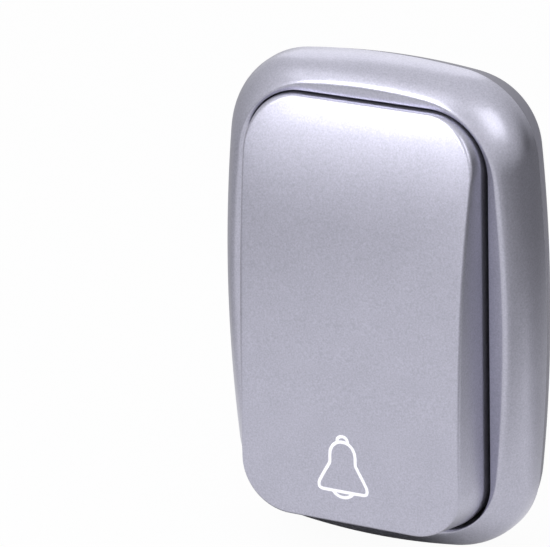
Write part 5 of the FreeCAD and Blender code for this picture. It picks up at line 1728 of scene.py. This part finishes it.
@dataclass(frozen=True)
class SoftBox:
    """A large soft lamp, placed by the direction from the object to it."""

    name: str
    azimuth: float
    elevation: float
    distance: float
    width: float
    height: float
    glow: float

    def build(self) -> bpy.types.Object:
        """Hangs the lamp so that it faces the object; its power follows from its area and its glow.

        Returns:
            The lamp.
        """
        data = bpy.data.lights.new(self.name, "AREA")
        data.shape = "RECTANGLE"
        data.size = self.width
        data.size_y = self.height
        data.energy = self.glow * math.pi * self.width * self.height
        lamp = bpy.data.objects.new(self.name, data)
        bpy.context.scene.collection.objects.link(lamp)
        lamp.visible_camera = False
        way = towards(self.azimuth, self.elevation)
        turn = way.to_track_quat("Z", "Y").to_matrix().to_4x4()
        lamp.matrix_world = Matrix.Translation(way * self.distance) @ turn
        return lamp


@dataclass(frozen=True)
class Shade:
    """A soft grey area of the surroundings, as a dark studio card makes it.

    It darkens the world about one direction. On the floor it darkens a wedge that opens on that side, more
    and more from a near distance to a far one; the spread is half of the wedge's angle in degrees.
    """

    azimuth: float
    elevation: float
    sharpness: float
    depth: float
    near: float
    far: float
    spread: float = 90.0


@dataclass
class PhotoCamera:
    """A long lens from the front right and above, set so that the outline falls as in the photograph.

    It looks back along one direction from a point in front of the wall's middle, and is shifted and rolled in
    its own plane. Lengths are millimetres, but for the two clipping distances, and angles are degrees.
    """

    focal_pixels: float = 5007.0
    photo_width: float = 550.0
    sensor: float = 36.0
    azimuth: float = -61.5942
    elevation: float = 20.5161
    roll: float = -1.4090
    distance: float = 835.48
    shift_right: float = -15.2064
    shift_up: float = 6.3553
    aim_depth: float = 17.0
    nearest: float = 0.01
    farthest: float = 20.0

    def build(self) -> bpy.types.Object:
        """Sets the camera up as the scene's own.

        Returns:
            The camera.
        """
        data = bpy.data.cameras.new("photo_camera")
        data.sensor_width = self.sensor
        data.lens = self.focal_pixels / self.photo_width * self.sensor
        data.clip_start = self.nearest
        data.clip_end = self.farthest
        camera = bpy.data.objects.new("photo_camera", data)
        bpy.context.scene.collection.objects.link(camera)
        level = towards(self.azimuth, self.elevation).to_track_quat("Z", "Y").to_matrix().to_4x4()
        turn = level @ Matrix.Rotation(math.radians(self.roll), 4, "Z")
        stand = Vector((self.shift_right, self.shift_up, self.distance)) * MM
        aim = at(0.0, self.aim_depth, 0.0)
        camera.matrix_world = Matrix.Translation(aim) @ turn @ Matrix.Translation(stand)
        bpy.context.scene.camera = camera
        return camera


@dataclass
class Studio:
    """Pale floor, pale surroundings with a few grey areas, and soft lamps."""

    floor_paint: str = "#CFCFD2"
    floor_level: float = -42.85
    floor_span: float = 6.0
    floor_glow: float = 0.96
    floor_gloss: float = 0.95
    foot_gloss: float = 0.04
    foot_shift: tuple[float, float] = (4.0, 12.0)
    foot_squeeze: float = 0.45
    foot_dark: float = 7.0
    foot_light: float = 18.0
    surround: float = 1.0
    darkest: float = 0.02
    shades: tuple[Shade, ...] = (
        Shade(38.0, -2.0, 4.5, 0.72, 60.0, 200.0),
        Shade(170.0, -5.0, 5.0, 0.5, 40.0, 140.0),
        Shade(330.0, -10.0, 8.0, 0.5, 12.0, 40.0, 45.0),
        Shade(35.0, -10.0, 8.0, 0.4, 0.0, 12.0, 35.0),
    )
    boxes: tuple[SoftBox, ...] = (
        SoftBox("front_left_box", 249.0, 29.0, 0.42, 0.15, 0.17, 7.2),
        SoftBox("front_right_box", 327.0, 40.0, 0.8, 0.42, 0.4, 1.4),
        SoftBox("overhead_box", 235.0, 54.0, 0.8, 0.8, 0.35, 0.7),
        SoftBox("rear_left_box", 120.0, 35.0, 0.8, 0.6, 0.5, 0.6),
    )

    def mirrored_floor(self, tree: bpy.types.NodeTree) -> bpy.types.NodeSocket:
        """How bright the floor is in reflections: white, but for the shades and the shadow at the foot.

        Args:
            tree: the floor material's tree.

        Returns:
            The socket that carries the brightness.
        """
        place = add_node(tree, "ShaderNodeTexCoord").outputs["Object"]
        aside, ahead = self.foot_shift
        foot = add_node(tree, "ShaderNodeMapping", {"vector_type": "POINT"}, {
            "Vector": place, "Location": (aside * MM, ahead * MM, 0.0),
            "Scale": (self.foot_squeeze, 1.0, 1.0)})
        away = add_node(tree, "ShaderNodeVectorMath", {"operation": "LENGTH"}, {0: foot.outputs["Vector"]})
        gloss = add_node(tree, "ShaderNodeMapRange", {"interpolation_type": "SMOOTHSTEP"}, {
            "Value": away.outputs["Value"], "From Min": self.foot_dark * MM, "From Max": self.foot_light * MM,
            "To Min": self.foot_gloss, "To Max": self.floor_gloss})
        shown = gloss.outputs["Result"]
        reach = add_node(tree, "ShaderNodeVectorMath", {"operation": "LENGTH"}, {0: place})
        for shade in self.shades:
            side = add_node(tree, "ShaderNodeVectorMath", {"operation": "DOT_PRODUCT"}, {
                0: place, 1: towards(shade.azimuth, 0.0)})
            wedge = add_node(tree, "ShaderNodeMath", {"operation": "MULTIPLY_ADD"}, {
                0: reach.outputs["Value"], 1: -math.cos(math.radians(shade.spread)),
                2: side.outputs["Value"]})
            kept = add_node(tree, "ShaderNodeMapRange", {"interpolation_type": "SMOOTHSTEP"}, {
                "Value": wedge.outputs[0], "From Min": shade.near * MM, "From Max": shade.far * MM,
                "To Min": 1.0, "To Max": 1.0 - shade.depth})
            shown = add_node(tree, "ShaderNodeMath", {"operation": "MULTIPLY"}, {
                0: shown, 1: kept.outputs["Result"]}).outputs[0]
        return shown

    def floor(self) -> bpy.types.Object:
        """Lays the floor: white to the camera, with the object's soft shadow kept in it.

        Returns:
            The floor.
        """
        work = bmesh.new()
        bmesh.ops.create_grid(work, x_segments=8, y_segments=8, size=self.floor_span * 0.5)
        mesh = bpy.data.meshes.new("studio_floor")
        work.to_mesh(mesh)
        work.free()
        floor = new_object("studio_floor", mesh)
        floor.location.z = self.floor_level * MM
        material = bpy.data.materials.new("painted_floor_white")
        material.use_nodes = True
        tree = material.node_tree
        tree.nodes.clear()
        seen, mirrored = seen_directly(tree)
        bright = add_node(tree, "ShaderNodeMath", {"operation": "MULTIPLY"}, {0: seen, 1: self.floor_glow})
        share = add_node(tree, "ShaderNodeMath", {"operation": "MAXIMUM"}, {
            0: mirrored, 1: bright.outputs[0]})
        level = add_node(tree, "ShaderNodeMix", {"data_type": "FLOAT"}, {
            0: seen, 2: self.mirrored_floor(tree), 3: 1.0})
        matte = add_node(tree, "ShaderNodeBsdfDiffuse", None, {"Color": linear(self.floor_paint)})
        glow = add_node(tree, "ShaderNodeEmission", None, {"Color": WHITE, "Strength": level.outputs[0]})
        mix = add_node(tree, "ShaderNodeMixShader", None, {
            0: share.outputs[0], 1: matte.outputs["BSDF"], 2: glow.outputs["Emission"]})
        add_node(tree, "ShaderNodeOutputMaterial", None, {"Surface": mix.outputs["Shader"]})
        mesh.materials.append(material)
        return floor

    def world(self) -> None:
        """Sets the surroundings: white to the camera; only light and reflections meet the grey areas."""
        world = bpy.data.worlds.new("pale_studio")
        world.use_nodes = True
        tree = world.node_tree
        tree.nodes.clear()
        seen, _ = seen_directly(tree)
        place = add_node(tree, "ShaderNodeTexCoord").outputs["Generated"]
        way = add_node(tree, "ShaderNodeVectorMath", {"operation": "NORMALIZE"}, {0: place})
        level: Any = self.surround
        for shade in self.shades:
            near = add_node(tree, "ShaderNodeVectorMath", {"operation": "DOT_PRODUCT"}, {
                0: way.outputs["Vector"], 1: towards(shade.azimuth, shade.elevation)})
            slope = add_node(tree, "ShaderNodeMath", {"operation": "MULTIPLY_ADD"}, {
                0: near.outputs["Value"], 1: shade.sharpness, 2: -shade.sharpness})
            spot = add_node(tree, "ShaderNodeMath", {"operation": "EXPONENT"}, {0: slope.outputs[0]})
            level = add_node(tree, "ShaderNodeMath", {"operation": "MULTIPLY_ADD"}, {
                0: spot.outputs[0], 1: -shade.depth, 2: level}).outputs[0]
        kept = add_node(tree, "ShaderNodeMath", {"operation": "MAXIMUM"}, {0: level, 1: self.darkest})
        soft = add_node(tree, "ShaderNodeBackground", None, {"Color": WHITE, "Strength": kept.outputs[0]})
        white = add_node(tree, "ShaderNodeBackground", None, {"Color": WHITE, "Strength": 1.0})
        mix = add_node(tree, "ShaderNodeMixShader", None, {
            0: seen, 1: soft.outputs["Background"], 2: white.outputs["Background"]})
        add_node(tree, "ShaderNodeOutputWorld", None, {"Surface": mix.outputs["Shader"]})
        bpy.context.scene.world = world

    def build(self) -> None:
        """Sets the studio up."""
        self.floor()
        self.world()
        for box in self.boxes:
            box.build()
        PhotoCamera().build()
        bpy.context.scene.view_settings.view_transform = "Standard"


def main() -> None:
    """Builds each sub-assembly in order, then the studio."""
    logging.basicConfig(level=logging.INFO, format="%(name)s: %(message)s")
    plate = PressPlate()
    plate.build()
    BellSign(plate).build()
    FrontRim().build()
    BackShell().build()
    WallMount().build()
    Works().build()
    Studio().build()


if __name__ == "__main__":
    main()
